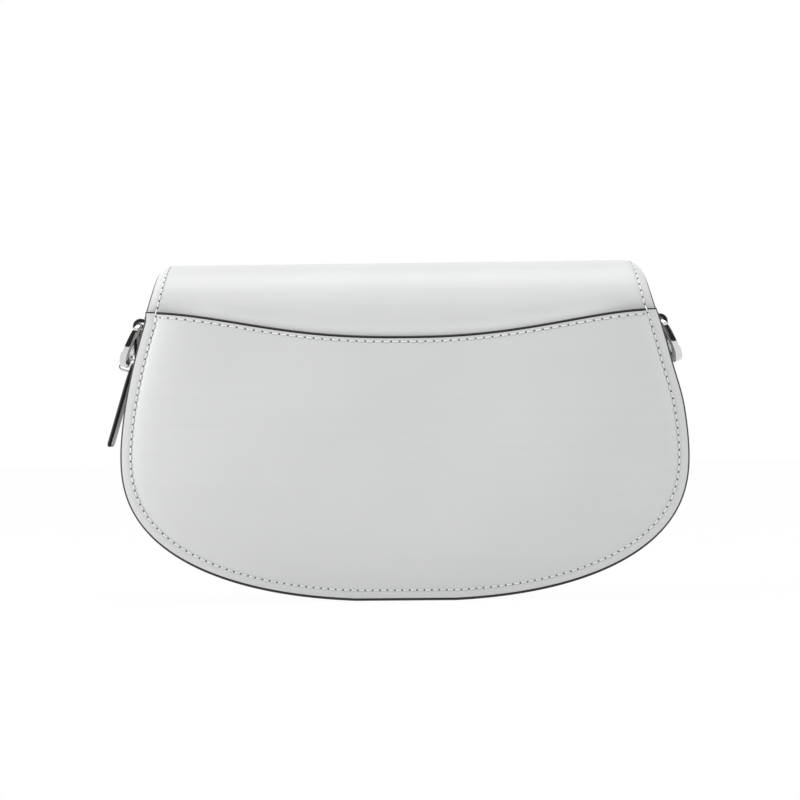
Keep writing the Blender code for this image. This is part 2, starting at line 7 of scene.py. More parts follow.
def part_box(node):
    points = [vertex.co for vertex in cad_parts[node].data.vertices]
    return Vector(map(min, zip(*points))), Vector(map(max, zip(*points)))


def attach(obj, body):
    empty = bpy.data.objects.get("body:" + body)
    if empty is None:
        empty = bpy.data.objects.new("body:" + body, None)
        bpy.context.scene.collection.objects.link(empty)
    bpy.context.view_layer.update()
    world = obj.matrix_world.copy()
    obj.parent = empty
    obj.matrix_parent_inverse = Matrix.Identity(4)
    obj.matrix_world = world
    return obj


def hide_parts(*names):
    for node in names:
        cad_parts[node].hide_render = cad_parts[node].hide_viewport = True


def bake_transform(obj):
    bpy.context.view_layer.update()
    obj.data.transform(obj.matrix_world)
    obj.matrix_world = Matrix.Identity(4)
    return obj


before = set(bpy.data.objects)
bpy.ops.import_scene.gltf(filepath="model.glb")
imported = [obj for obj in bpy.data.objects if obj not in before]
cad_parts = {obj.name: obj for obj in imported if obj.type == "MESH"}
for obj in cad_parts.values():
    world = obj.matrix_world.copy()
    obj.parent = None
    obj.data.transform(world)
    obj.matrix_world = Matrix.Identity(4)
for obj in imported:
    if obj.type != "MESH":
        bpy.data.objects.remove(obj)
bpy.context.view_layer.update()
mm = 0.001

# Sizes that every piece shares, read from the frame where it has them
backLow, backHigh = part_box("back_panel")
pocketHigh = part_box("slip_pocket_panel")[1]
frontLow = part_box("front_panel")[0]
gussetLow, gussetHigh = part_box("gusset")
flapLow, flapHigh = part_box("flap")
leather = 1.6 * mm
bag = {
    "width": backHigh.x - backLow.x,
    "widestZ": 64 * mm,
    "lowerPower": 2.4,
    "upperPower": 1.65,
    "baseFlat": 44 * mm,
    "foldZ": 128.4 * mm,
    "foldInset": 12.9 * mm,  # how far the sides lean in between the widest place and the fold
    "leather": leather,
    "lining": 0.5 * mm,
    "gap": 0.3 * mm,
    "backY": backLow.y,  # outer face of the back hide
    "frontY": frontLow.y + leather,  # outer face of the front panel at its sewn edge
    "pocketY": pocketHigh.y - leather,  # outer face of the pocket panel at its sewn edge
    "mouthEndZ": pocketHigh.z,
    "gussetTopZ": gussetHigh.z,
    "stitchIn": 4.5 * mm,
    "stitchPitch": 3.25 * mm,
}


def sideHalfWidth(z):
    share = np.clip((np.asarray(z, float) - bag["widestZ"]) / (bag["foldZ"] - bag["widestZ"]), 0, None)
    return bag["width"] / 2 - bag["foldInset"] * share**bag["upperPower"]


def lowerCurve(halfWidth, height, flatWidth, steps):
    # right lower quarter of a half-moon, from its side down to its flat base
    power = bag["lowerPower"]
    flatAngle = math.acos((flatWidth / 2 / halfWidth) ** (power / 2))
    angle = np.linspace(0, flatAngle, steps + 1)
    depth = height / math.sin(flatAngle) ** (2 / power)
    x = halfWidth * np.cos(angle) ** (2 / power)
    return np.column_stack((x, height - depth * np.sin(angle) ** (2 / power)))


def panelSide(topZ):
    # the panels' right edge from a height down to the middle of the base
    z = np.linspace(topZ, bag["widestZ"], 160)[:-1]
    upper = np.column_stack((sideHalfWidth(z), z))
    lower = lowerCurve(bag["width"] / 2, bag["widestZ"], bag["baseFlat"], 240)
    flat = np.column_stack((np.linspace(bag["baseFlat"] / 2, 0, 30)[1:], np.zeros(29)))
    return np.vstack((upper, lower, flat))


def lengths(path):
    # running length at each point of a path
    return np.concatenate(([0], np.cumsum(np.linalg.norm(np.diff(path, axis=0), axis=1))))


def pathAt(places, run, path):
    return np.column_stack([np.interp(places, run, column) for column in path.T])


def resample(path, count):
    run = lengths(path)
    return pathAt(np.linspace(0, run[-1], count), run, path)


def mirrored(points):
    return points * np.array([-1.0] + [1.0] * (points.shape[1] - 1))


def bothSides(half):
    # a whole outline from its right half, which ends in the middle
    return np.vstack((mirrored(half), half[::-1][1:]))


def unit(rows):
    return rows / np.linalg.norm(rows, axis=1)[:, None]


def rightOf(way):
    return unit(np.column_stack((way[:, 1], -way[:, 0])))


def wayRound(loop):
    return np.roll(loop, -1, axis=0) - np.roll(loop, 1, axis=0)


def turns(count):
    return np.linspace(0, 2 * math.pi, count, endpoint=False)


def inwardOf(path, mirrorStart=False):
    # unit normals to the right of a path's way; ends in the middle get the normal of the whole path
    whole = np.vstack((path, mirrored(path[-2:-1])))
    if mirrorStart:
        whole = np.vstack((mirrored(path[1:2]), whole))
    return rightOf(np.gradient(whole, axis=0)[1 if mirrorStart else 0:-1])


wholeEdge = resample(bothSides(panelSide(bag["foldZ"])), 260)


def distanceTo(path, points):
    # least distance from each point to a path
    start = path[:-1]
    way = path[1:] - start
    square = (way**2).sum(axis=1)
    nearest = np.full(len(points), np.inf)
    for first in range(0, len(points), 4000):
        part = points[first:first + 4000]
        offset = part[:, None, :] - start[None]
        share = np.clip((offset * way).sum(axis=2) / square, 0, 1)
        gapTo = offset - share[..., None] * way
        nearest[first:first + 4000] = np.sqrt((gapTo**2).sum(axis=2).min(axis=1))
    return nearest


def smooth(share):
    share = np.clip(share, 0, 1)
    return share * share * (3 - 2 * share)


def rising(value, low, high):
    return smooth((value - low) / (high - low))


def between(low, high, share):
    return low + (high - low) * share


dome = {
    "flat": 6 * mm,  # flat flange along the seam
    "reach": 60 * mm,
    "power": 2.2,
    "fadeZ": 74 * mm,  # above this height a dome fades towards its mouth
    "mouth": 0.42,  # the share that is left there
    "pocket": 6 * mm,
    "front": 5 * mm,
    "flap": 11.2 * mm,
    "roll": 2.8 * mm,  # a fuller roll just inside the seam, strongest near the mouth
    "rollFrom": 4.9 * mm,
    "rollWidth": 5.0 * mm,
    "rollLowZ": 30 * mm,
    "rollHighZ": 122 * mm,
    "lowRoll": 0.12,  # shares of its height and width at the base
    "lowWidth": 0.4,
    "uneven": 0.22 * mm,  # the soft unevenness of a stuffed bag
    "unevenReach": 22 * mm,
    "waves": (31 * mm, 23 * mm, 17 * mm, 29 * mm),
}


def domeAt(points, height, topZ):
    fromEdge = distanceTo(wholeEdge, points)
    x, z = points[:, 0], points[:, 1]
    share = np.clip((fromEdge - dome["flat"]) / dome["reach"], 0, 1)
    fade = rising(z, dome["fadeZ"], topZ)
    high = rising(z, dome["rollLowZ"], dome["rollHighZ"])
    roll = dome["roll"] * between(dome["lowRoll"], 1, high)
    width = dome["rollWidth"] * between(dome["lowWidth"], 1, high)
    inRoll = np.clip(fromEdge - dome["rollFrom"], 0, None) / width
    a, b, c, d = dome["waves"]
    wave = np.sin(x / a + 1.3) * np.sin(z / b + 0.4) + 0.6 * np.sin(x / c - z / d)
    body = (height - roll) * (1 - (1 - share) ** dome["power"]) * between(1, dome["mouth"], fade)
    uneven = dome["uneven"] * wave * smooth((fromEdge - dome["flat"]) / dome["unevenReach"])
    return body + roll * (1 - np.exp(-inRoll)) + uneven


made = []
askew = {
    "shift": -1.25 * mm,  # the bag's right side leans in and its top stands to the left
    "lowZ": 84 * mm,
    "highZ": 106 * mm,
    "across": 60 * mm,
    "leftReach": 6 * mm,  # below the fold
    "frontY": 30 * mm,
}


def settle(obj):
    # leans one piece of the body as the whole bag leans
    points = np.empty((len(obj.data.vertices), 3), np.float32)
    obj.data.vertices.foreach_get("co", points.reshape(-1))
    x, y, z = points.T
    right = smooth(x / askew["across"])
    height = rising(z, askew["lowZ"], askew["highZ"])
    top = smooth(1 + (z - bag["foldZ"]) / askew["leftReach"])
    toBack = smooth(2 - y / askew["frontY"])
    points[:, 0] = x + askew["shift"] * (right * height + (1 - right) * top * toBack)
    obj.data.vertices.foreach_set("co", points.reshape(-1))
    obj.data.update()


def addObject(name, data):
    obj = bpy.data.objects.new(name, data)
    bpy.context.scene.collection.objects.link(obj)
    return obj


def addMesh(name, points, faces, body, finish, values=None, smoothAngle=40):
    data = bpy.data.meshes.new(name)
    data.from_pydata(np.asarray(points).tolist(), [], faces)
    for key, numbers in (values or {}).items():
        attribute = data.attributes.new(key, "FLOAT", "POINT")
        attribute.data.foreach_set("value", np.asarray(numbers, np.float32))
    data.update()
    data.shade_smooth()
    data.set_sharp_from_angle(angle=math.radians(smoothAngle))
    data.materials.append(finish)
    obj = addObject(name, data)
    if body:
        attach(obj, body)
    made.append(obj)
    return obj


def bandFaces(rows, count, first=0, closed=False, capped=True):
    # quads between rows of points that each go once round
    faces = []
    for i in range(rows if closed else rows - 1):
        a, b = first + i * count, first + (i + 1) % rows * count
        faces += [(a + j, a + (j + 1) % count, b + (j + 1) % count, b + j) for j in range(count)]
    if capped and not closed:
        last = first + (rows - 1) * count
        faces += [tuple(range(first, first + count))[::-1], tuple(range(last, last + count))]
    return faces


def ringOf(halfPath, sideFrom, sideTo, grid):
    # a closed loop from its right half, which runs from the middle of the top to the middle of the base:
    # the top from left to right, the right side down, the base from right to left, the left side up
    run = lengths(halfPath)
    marks = [0, sideFrom * run[-1], sideTo * run[-1], run[-1]]
    counts = (grid[0] // 2, grid[1], grid[0] // 2)
    top, side, base = (
        pathAt(np.linspace(start, end, count + 1), run, halfPath)
        for start, end, count in zip(marks, marks[1:], counts))
    back = [mirrored(part)[::-1][:-1] for part in (top, base, side)]
    return np.vstack((back[0], top[:-1], side[:-1], base[:-1], back[1], back[2]))


def ringsOf(halfAt, depths, sideFrom, sideTo, grid):
    # rings from right halves at depths from the edge, whose side runs between two of their points
    rings = []
    for half in map(halfAt, depths):
        share = lengths(half)
        share = share / share[-1]
        rings.append(ringOf(half, share[sideFrom], share[sideTo], grid))
    return rings


def fillPatch(rings, grid):
    # quads between the rings of a patch, and a relaxed net inside the last one
    across, along = grid
    count = 2 * (across + along)
    quads = bandFaces(len(rings), count, capped=False)
    inner = rings[-1]
    top = inner[:across + 1]
    right = inner[across:across + along + 1]
    base = inner[across + along:2 * across + along + 1][::-1]
    left = np.vstack((inner[2 * across + along:], inner[:1]))[::-1]
    u = np.linspace(0, 1, across + 1)[None, :, None]
    v = np.linspace(0, 1, along + 1)[:, None, None]
    net = (1 - v) * top[None] + v * base[None] + (1 - u) * left[:, None] + u * right[:, None]
    net -= (1 - u) * (1 - v) * top[0] + u * (1 - v) * top[-1] + (1 - u) * v * base[0] + u * v * base[-1]
    for _ in range(60):
        net[1:-1, 1:-1] = (net[:-2, 1:-1] + net[2:, 1:-1] + net[1:-1, :-2] + net[1:-1, 2:]) / 4
    index = np.zeros((along + 1, across + 1), int)
    last = (len(rings) - 1) * count
    index[0] = last + np.arange(across + 1)
    index[:, -1] = last + across + np.arange(along + 1)
    index[-1] = last + across + along + np.arange(across + 1)[::-1]
    index[:, 0] = last + (2 * across + along + np.arange(along + 1)[::-1]) % count
    index[0, 0] = last
    index[1:-1, 1:-1] = len(rings) * count + np.arange((along - 1) * (across - 1)).reshape(along - 1, -1)
    corners = (index[:-1, :-1], index[:-1, 1:], index[1:, 1:], index[1:, :-1])
    quads += [tuple(quad) for quad in np.stack(corners, axis=2).reshape(-1, 4).tolist()]
    return np.vstack(rings + [net[1:-1, 1:-1].reshape(-1, 2)]), quads


def edgeInsets(thickness):
    # depths from a raw edge for the rings of a patch: a half round, then the face
    return [thickness / 2 * (1 - math.cos(math.radians(angle))) for angle in (0, 22, 45, 68, 90)]


def shell(name, rings, depths, grid, thickness, surface, body, finish, paint=-1.0, relief=None):
    # a sheet of leather or cloth: surface(points, depth) gives its faces, and its raw edge is half round.
    # paint is how far the dark edge band reaches from the edge, a number or a function of the points; along the
    # panels' base and mouths it is painted shade as well as edge paint
    points, quads = fillPatch(rings, grid)
    count = len(rings[0])
    fromEdge = np.full(len(points), 2 * max(depths))
    fromEdge[:count * len(depths)] = np.repeat(depths, count)
    radius = thickness / 2
    bulge = np.sqrt(np.clip(1 - (1 - np.clip(fromEdge / radius, 0, 1)) ** 2, 0, 1))
    outer = surface(points, 0)
    step = (surface(points, mm) - outer) / mm
    near = outer + step * (radius - radius * bulge)[:, None]
    far = outer + step * (radius + radius * bulge)[:, None]
    if relief is not None:
        near = near - unit(step) * relief(points, fromEdge)[:, None]
    solid = np.vstack((near, far[count:]))
    shift = len(points) - count
    faces = list(quads)
    faces += [tuple(i if i < count else i + shift for i in reversed(quad)) for quad in quads]
    middle = quads[len(quads) // 2]
    first = solid[list(middle)]
    if np.cross(first[1] - first[0], first[2] - first[0]) @ step[middle[0]] > 0:
        faces = [face[::-1] for face in faces]
    paintAndShade = (fromEdge - (paint(points) if callable(paint) else paint)) / mm
    values = {"paintAndShadeEdge": np.concatenate((paintAndShade, paintAndShade[count:]))}
    return addMesh(name, solid, faces, body, finish, values)


def flipIfInside(obj):
    # turns the faces of a closed mesh outwards
    volume = 0.0
    for face in obj.data.polygons:
        a, *others = (obj.data.vertices[i].co for i in face.vertices)
        volume += sum(a.dot(b.cross(c)) for b, c in zip(others, others[1:]))
    if volume < 0:
        obj.data.flip_normals()
    return obj


print("geometry helpers ready")


class Wire:
    # a node's socket that can be used in sums
    def __init__(self, finish, socket):
        self.finish = finish
        self.socket = socket

    def maths(self, operation, first, second):
        return self.finish.add("ShaderNodeMath", {"operation": operation}, {0: first, 1: second})

    def __add__(self, other):
        return self.maths("ADD", self, other)

    def __radd__(self, other):
        return self.maths("ADD", other, self)

    def __sub__(self, other):
        return self.maths("SUBTRACT", self, other)

    def __rsub__(self, other):
        return self.maths("SUBTRACT", other, self)

    def __mul__(self, other):
        return self.maths("MULTIPLY", self, other)

    def __rmul__(self, other):
        return self.maths("MULTIPLY", other, self)


class Finish:
    # the nodes of a material or of the world
    def __init__(self, owner):
        owner.use_nodes = True
        self.owner = owner
        self.tree = owner.node_tree

    def add(self, kind, settings, values, output=0):
        node = self.tree.nodes.new(kind)
        for key, value in settings.items():
            setattr(node, key, value)
        for key, value in values.items():
            self.set(node.inputs[key], value)
        return Wire(self, node.outputs[output])

    def set(self, socket, value):
        if isinstance(value, Wire):
            self.tree.links.new(value.socket, socket)
        else:
            socket.default_value = value

    def shade(self, **values):
        shader = self.tree.nodes["Principled BSDF"]
        for key, value in values.items():
            self.set(shader.inputs[key.replace("_", " ")], value)
        return self.owner

    def spot(self):
        return self.add("ShaderNodeTexCoord", {}, {}, "Object")

    def noise(self, spot, scale, detail):
        return self.add("ShaderNodeTexNoise", {}, {"Vector": spot, "Scale": scale, "Detail": detail})

    def mix(self, share, first, second):
        return self.add("ShaderNodeMix", {"data_type": "RGBA"}, {0: share, 6: first, 7: second}, 2)

    def spread(self, value, low, high, start=0.0, end=1.0):
        # a value from low to high becomes one from start to end, with soft ends
        return self.add("ShaderNodeMapRange", {"interpolation_type": "SMOOTHSTEP"}, {
            "Value": value, "From Min": low, "From Max": high, "To Min": start, "To Max": end,
        })

    def bump(self, height, strength, distance):
        values = {"Height": height, "Strength": strength, "Distance": distance}
        return self.add("ShaderNodeBump", {}, values, "Normal")

    def seenBy(self, *rays):
        # 1 for the named kinds of ray
        first, *others = (self.add("ShaderNodeLightPath", {}, {}, "Is " + ray + " Ray") for ray in rays)
        for other in others:
            first = first.maths("MAXIMUM", first, other)
        return first


def newFinish(name):
    return Finish(bpy.data.materials.new(name))


def grey(level, tint=(1, 1, 1)):
    return (level * tint[0], level * tint[1], level * tint[2], 1)


coolTint = (0.985, 1.0, 0.99)
leatherLook = {
    "light": grey(0.655, coolTint),
    "dark": grey(0.635, coolTint),
    # near-black edge paint, kept darker than the paint alone as painted shade along the base and in the gap
    # behind the pocket's mouth
    "paint": grey(0.012),
    "roughness": 0.42,
    "paintRoughness": 0.38,
    "coat": 0.3,
    "specular": 0.22,
    "mottleScale": 16,
    "streakScale": (7, 7, 420),
    "grainScale": 1900,
    "poreScale": 620,
    "grainDepth": 0.03 * mm,
}


def leatherFinish(name, look):
    f = newFinish(name)
    spot = f.spot()
    mottle = f.noise(spot, look["mottleScale"], 4)
    lines = f.add("ShaderNodeMapping", {}, {"Vector": spot, "Scale": look["streakScale"]})
    streak = f.noise(lines, 1.0, 3)
    grain = f.noise(spot, look["grainScale"], 2)
    pores = f.add("ShaderNodeTexVoronoi", {}, {"Vector": spot, "Scale": look["poreScale"]})
    # the dark edge band: edge paint, with painted shade along the panels' base and mouths
    fromPaint = f.add("ShaderNodeAttribute", {"attribute_name": "paintAndShadeEdge"}, {}, "Fac")
    paintAndShade = f.spread(fromPaint, -0.09, 0.09, 1.0, 0.0)
    tone = f.spread(mottle * 0.7 + streak * 0.3, 0.36, 0.64)
    hide = f.mix(tone, look["dark"], look["light"])
    relief = grain * 0.5 + f.spread(pores, 0.0, 0.55) * 0.5 + streak * 0.3
    change = (look["paintRoughness"] - look["roughness"]) * paintAndShade
    return f.shade(
        Base_Color=f.mix(paintAndShade, hide, look["paint"]),
        Roughness=look["roughness"] + (mottle - 0.5) * 0.12 + change,
        Coat_Weight=look["coat"] * (1 - paintAndShade),
        Coat_Roughness=0.32,
        Specular_IOR_Level=look["specular"],
        Normal=f.bump(relief * (1 - 0.6 * paintAndShade), 0.35, look["grainDepth"]),
    )


def clothFinish(name, level):
    # a fine plain weave
    f = newFinish(name)
    spot = f.spot()
    values = {"Vector": spot, "Scale": 1900 / 6.28, "Distortion": 0.6}
    across, down = (f.add("ShaderNodeTexWave", {"bands_direction": way}, values) for way in "XZ")
    weave = across.maths("MAXIMUM", across, down)
    fleck = f.noise(spot, 420, 3)
    return f.shade(
        Base_Color=f.mix(weave * 0.6 + fleck * 0.4, grey(level * 0.72), grey(level * 1.18)),
        Roughness=0.84,
        Sheen_Weight=0.25,
        Normal=f.bump(weave * 0.7 + fleck * 0.3, 0.5, 0.12 * mm),
    )


def metalFinish(name):
    f = newFinish(name)
    spot = f.spot()
    wear = f.noise(spot, 340, 4)
    return f.shade(
        Base_Color=f.mix(wear, grey(0.61, (1.0, 0.99, 0.97)), grey(0.72, (1.0, 0.995, 0.975))),
        Metallic=1.0,
        Roughness=f.spread(wear, 0.3, 0.75, 0.05, 0.13),
        Normal=f.bump(f.noise(spot, 2600, 2), 0.06, 0.01 * mm),
    )


def threadFinish(name):
    f = newFinish(name)
    ply = f.noise(f.spot(), 2400, 2)
    return f.shade(
        Base_Color=f.mix(ply, grey(0.70, coolTint), grey(0.84, coolTint)),
        Roughness=0.55,
        Sheen_Weight=0.2,
        Normal=f.bump(ply, 0.5, 0.08 * mm),
    )


def darkFinish(name, level, roughness):
    f = newFinish(name)
    mottle = f.noise(f.spot(), 900, 3)
    return f.shade(
        Base_Color=f.mix(mottle, grey(level * 0.8), grey(level * 1.25)),
        Roughness=roughness + (mottle - 0.5) * 0.15,
        Normal=f.bump(mottle, 0.25, 0.03 * mm),
    )


whiteLeather = leatherFinish("whiteLeather", leatherLook)
liningLeather = leatherFinish("liningLeather", {
    **leatherLook, "light": grey(0.57), "dark": grey(0.52), "roughness": 0.62, "coat": 0.0, "paint": grey(0.5),
})
clothLining = clothFinish("clothLining", 0.30)
boardCloth = clothFinish("boardCloth", 0.27)
polishedMetal = metalFinish("polishedMetal")
whiteThread = threadFinish("whiteThread")
# needle holes: a near-black finish as painted shade inside the holes
needleHoleShade = darkFinish("needleHoleShade", 0.09, 0.8)
edgePaint = darkFinish("edgePaint", 0.045, 0.4)
print("finishes ready")


def mouthZ(x, topZ, sag, trim=0.0, power=2.4):
    # height of a sagging mouth whose ends are at topZ
    share = np.clip(np.abs(x) / (float(sideHalfWidth(topZ)) - trim), 0, 1)
    return topZ - trim - sag * (1 - share**power) ** 2


def mouthedRings(topZ, sag, depths, grid, trim=0.0):
    # rings of a panel whose sides and base follow the bag's outline and whose top sags
    side = panelSide(topZ + 3 * mm)
    inward = inwardOf(side)
    rings = []
    for depth in depths:
        path = side + inward * (depth + trim)
        limit = mouthZ(path[:, 0], topZ, sag, trim) - depth
        i = int(np.argmax(path[:, 1] <= limit))
        over = path[i - 1, 1] - limit[i - 1]
        under = limit[i] - path[i, 1]
        corner = path[i - 1] + (path[i] - path[i - 1]) * over / (over + under)
        x = np.linspace(0, corner[0], 120)
        top = np.column_stack((x, mouthZ(x, topZ, sag, trim) - depth))
        top[-1] = corner
        half = np.vstack((top, path[i:]))
        run = lengths(half)
        sideStart = run[len(top) - 1] / run[-1]
        rings.append(ringOf(half, sideStart, between(sideStart, 1, 0.47), grid))
    return rings


def flatSurface(faceY, outward, rise):
    # faces parallel to the back, raised by a dome
    def surface(points, depth):
        return np.column_stack((points[:, 0], faceY + outward * (rise(points) - depth), points[:, 1]))
    return surface


def doming(height, topZ):
    return lambda points: domeAt(points, height, topZ)


leatherDepths = edgeInsets(bag["leather"])
leatherDepths += [depth * mm for depth in (1.1, 1.6, 2.1, 2.5, 2.9, 3.6, 4.1, 4.5, 4.9, 5.5, 6.3, 7.4, 9.0)]
liningDepths = edgeInsets(bag["lining"])
fineGrid = (150, 84)
coarseGrid = (80, 44)
skive = {"depth": 0.75 * mm, "width": 4.6 * mm, "power": 1.4}


def groove(fromEdge, at, depth=0.26 * mm, width=0.7 * mm):
    return -depth * np.exp(-(((fromEdge - at) / width) ** 2))


def skived(fromEdge):
    # the leather is pared down towards its seams
    return -skive["depth"] * np.clip(1 - fromEdge / skive["width"], 0, 1) ** skive["power"]


panelLook = {
    "sidePaint": 0.55 * mm,
    # the dark edge band is wider along the base and the mouth: edge paint, with painted shade along these edges
    # as well
    "basePaintAndShade": 1.0 * mm,
    "endPaint": 0.6,  # share of the mouth's dark band, paint and painted shade, outside the seam
    "paintFade": 1.2 * mm,
    "baseReach": 40 * mm,
    "mouthStitchIn": 2.5 * mm,
    "mouthPitch": 3.8 * mm,
}
pocket = {**panelLook, "topZ": bag["mouthEndZ"], "sag": 11.5 * mm, "mouthPaintAndShade": 1.15 * mm}
front = {
    **panelLook, "topZ": bag["gussetTopZ"], "sag": 5 * mm, "mouthPaintAndShade": 0.9 * mm, "washerRoom": 1.4 * mm,
}


def makePanel(name, surface, look):
    def nearMouth(points, toSide):
        # 1 along the mouth and 0 along the sides and base
        below = mouthZ(points[:, 0], look["topZ"], look["sag"]) - points[:, 1]
        return smooth((toSide - below) / mm + 0.5)

    # the dark band's reach from the edge: edge paint, and painted shade along the base and the mouth
    def paint(points):
        toSide = distanceTo(wholeEdge, points)
        inner = smooth((toSide - bag["stitchIn"]) / look["paintFade"])
        side = between(look["sidePaint"], look["basePaintAndShade"], smooth(1 - points[:, 1] / look["baseReach"]))
        return between(side, look["mouthPaintAndShade"] * between(look["endPaint"], 1, inner), nearMouth(points, toSide))

    def relief(points, fromEdge):
        atMouth = nearMouth(points, distanceTo(wholeEdge, points))
        at = between(bag["stitchIn"], look["mouthStitchIn"], atMouth)
        return groove(fromEdge, at) + skived(fromEdge) * (1 - atMouth)

    rings = mouthedRings(look["topZ"], look["sag"], leatherDepths, fineGrid)
    return shell(
        name, rings, leatherDepths, fineGrid, bag["leather"], surface, "bag", whiteLeather, paint, relief)


def makeLining(name, surface, topZ, sag, finish):
    rings = mouthedRings(topZ, sag, liningDepths, coarseGrid, bag["lining"])
    return shell(name, rings, liningDepths, coarseGrid, bag["lining"], surface, "bag", finish)


# The hide: back panel, arch over the top and flap in one piece
flap = {
    "rise": flapHigh.z - bag["foldZ"] - 0.6 * mm,
    "topInset": 4.15 * mm,
    "insetPower": 0.88,
    "topTilt": 0.005,
    "frontInset": 1.2 * mm,
    "widestZ": 86 * mm,
    "bottomZ": flapLow.z,
    "bottomFlat": 50 * mm,
    "standoff": 0.8 * mm,
    "depth": 2.4 * mm,  # leather, glue and lining together
    "cornerDroop": {"left": 2.3 * mm, "right": 3.8 * mm},
    "cornerWidth": 9 * mm,
    "cornerPower": 2.6,
    "washerRoom": 1.4 * mm,
    "archLength": 73 * mm,
    "liningTail": 7 * mm,  # how far the flap's lining goes down inside the back
    "backBulge": 3.0 * mm,  # of the back, behind the pocket's mouth
    "bulgeAbove": 9 * mm,  # from above the fold
    "bulgeReach": 24 * mm,
    "bulgeSide": 26 * mm,
    "bulgeLowZ": 70 * mm,
    "bulgeRise": 30 * mm,
    "lip": 1.05 * mm,  # the back fills out towards the pocket's painted edge
    "lipReach": 5.0 * mm,
    "lipBelow": 5.5 * mm,
    "bendStart": (0, bag["backY"] + leather, bag["foldZ"] - 0.8 * mm),
    "bendWay": (0, 12 * mm, 3.4 * mm),  # from the back panel towards the flap, over the fold
    "paint": 0.6 * mm,
    "grid": (150, 150),
    "liningGrid": (80, 96),
}
flap["outerY"] = bag["frontY"] + flap["standoff"] + flap["depth"]
foldHalfWidth = bag["width"] / 2 - bag["foldInset"]


def archHalfWidth(turn):
    # half the width of the arch, from the back fold at 0 to the front at pi
    inset = flap["topInset"] * np.clip(np.sin(turn), 0, 1) ** flap["insetPower"]
    return foldHalfWidth - flap["frontInset"] * turn / math.pi - inset


def hideHalfPath():
    # the hide's right edge as (x, length along its middle), from the flap's bottom to the base of the back
    arch, fold = flap["archLength"], bag["foldZ"]
    bottom = lowerCurve(
        float(sideHalfWidth(flap["widestZ"])) - flap["frontInset"], flap["widestZ"] - flap["bottomZ"],
        flap["bottomFlat"], 160,
    )[::-1]
    flat = np.column_stack((np.linspace(0, flap["bottomFlat"] / 2, 24)[:-1], np.zeros(23)))
    drop = np.vstack((flat, bottom)) + np.array([0, flap["bottomZ"]])
    z = np.linspace(flap["widestZ"], fold, 60)[1:-1]
    frontPart = np.vstack((drop, np.column_stack((sideHalfWidth(z) - flap["frontInset"], z))))
    frontPart[:, 1] = arch + fold - frontPart[:, 1]
    turn = np.linspace(math.pi, 0, 90)
    archPart = np.column_stack((archHalfWidth(turn), turn / math.pi * arch))
    backPart = panelSide(fold)[1:] - np.array([0, fold])
    return resample(np.vstack((frontPart, archPart, backPart)), 900)


def backBulgeAt(x, s):
    # the back swells a little behind the pocket's mouth, as the bag is stuffed
    z = bag["foldZ"] + s
    toSide = sideHalfWidth(z) - dome["flat"] - np.abs(x)
    down = smooth((flap["bulgeAbove"] - s) / flap["bulgeReach"])
    up = smooth((z - flap["bulgeLowZ"]) / flap["bulgeRise"])
    aboveMouth = z - mouthZ(x, pocket["topZ"], pocket["sag"])
    lip = smooth(1 - aboveMouth / flap["lipReach"]) * smooth(1 + aboveMouth / flap["lipBelow"])
    return (flap["backBulge"] * down * up + flap["lip"] * lip) * smooth(toSide / flap["bulgeSide"])


def hideSurface(points, depth, domeHeight=dome["flap"]):
    x, s = points[:, 0], points[:, 1]
    arch, fold = flap["archLength"], bag["foldZ"]
    turn = np.clip(s / arch, 0, 1) * math.pi
    frontZ = np.minimum(fold - (s - arch), fold)
    frontY = flap["outerY"] + domeAt(np.column_stack((x, frontZ)), domeHeight, fold) - depth
    backY = bag["backY"] + depth
    toCorner = archHalfWidth(turn) - np.abs(x)
    corner = np.clip(1 - toCorner / flap["cornerWidth"], 0, 1) ** flap["cornerPower"]
    droop = np.where(x < 0, flap["cornerDroop"]["left"], flap["cornerDroop"]["right"])
    topZ = fold + flap["rise"] - depth - droop * corner + flap["topTilt"] * x
    y = (backY + frontY) / 2 - (frontY - backY) / 2 * np.cos(turn)
    z = fold + (topZ - fold) * np.sin(turn)
    z = np.where(s < 0, fold + s, np.where(s > arch, frontZ, z))
    y = np.where(s < 0, backY, np.where(s > arch, frontY, y)) - backBulgeAt(x, s)
    return np.column_stack((x, y, z))


def bend(piece):
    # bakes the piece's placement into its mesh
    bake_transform(piece)


def offsetRings(half, depths, sideTo, sideFrom, grid):
    inward = inwardOf(half, True)
    return [ringOf(half + inward * depth, sideFrom, sideTo, grid) for depth in depths]


def makeHide(half):
    def relief(points, fromEdge):
        return groove(fromEdge, bag["stitchIn"]) + skived(fromEdge)

    rings = offsetRings(half, leatherDepths, 0.8, 0.2, flap["grid"])
    hide = shell(
        "backAndFlap", rings, leatherDepths, flap["grid"], bag["leather"], hideSurface, None,
        whiteLeather, flap["paint"], relief)
    bend(hide)
    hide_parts("back_panel", "flap")


def makeFlapLining(half):
    def surface(points, depth):
        return hideSurface(points, depth + bag["leather"] + bag["gap"], dome["flap"] - flap["washerRoom"])

    edge = half + inwardOf(half, True) * bag["lining"]
    edge = edge[edge[:, 1] > -flap["liningTail"]]
    across = np.column_stack((np.linspace(edge[-1, 0], 0, 60)[1:], np.full(59, edge[-1, 1])))
    edge = np.vstack((edge, across))
    run = lengths(edge)
    rings = offsetRings(edge, liningDepths, run[-60] / run[-1], 0.3, flap["liningGrid"])
    lining = shell(
        "flapLining", rings, liningDepths, flap["liningGrid"], bag["lining"], surface, None, liningLeather)
    bend(lining)
    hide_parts("flap_lining")


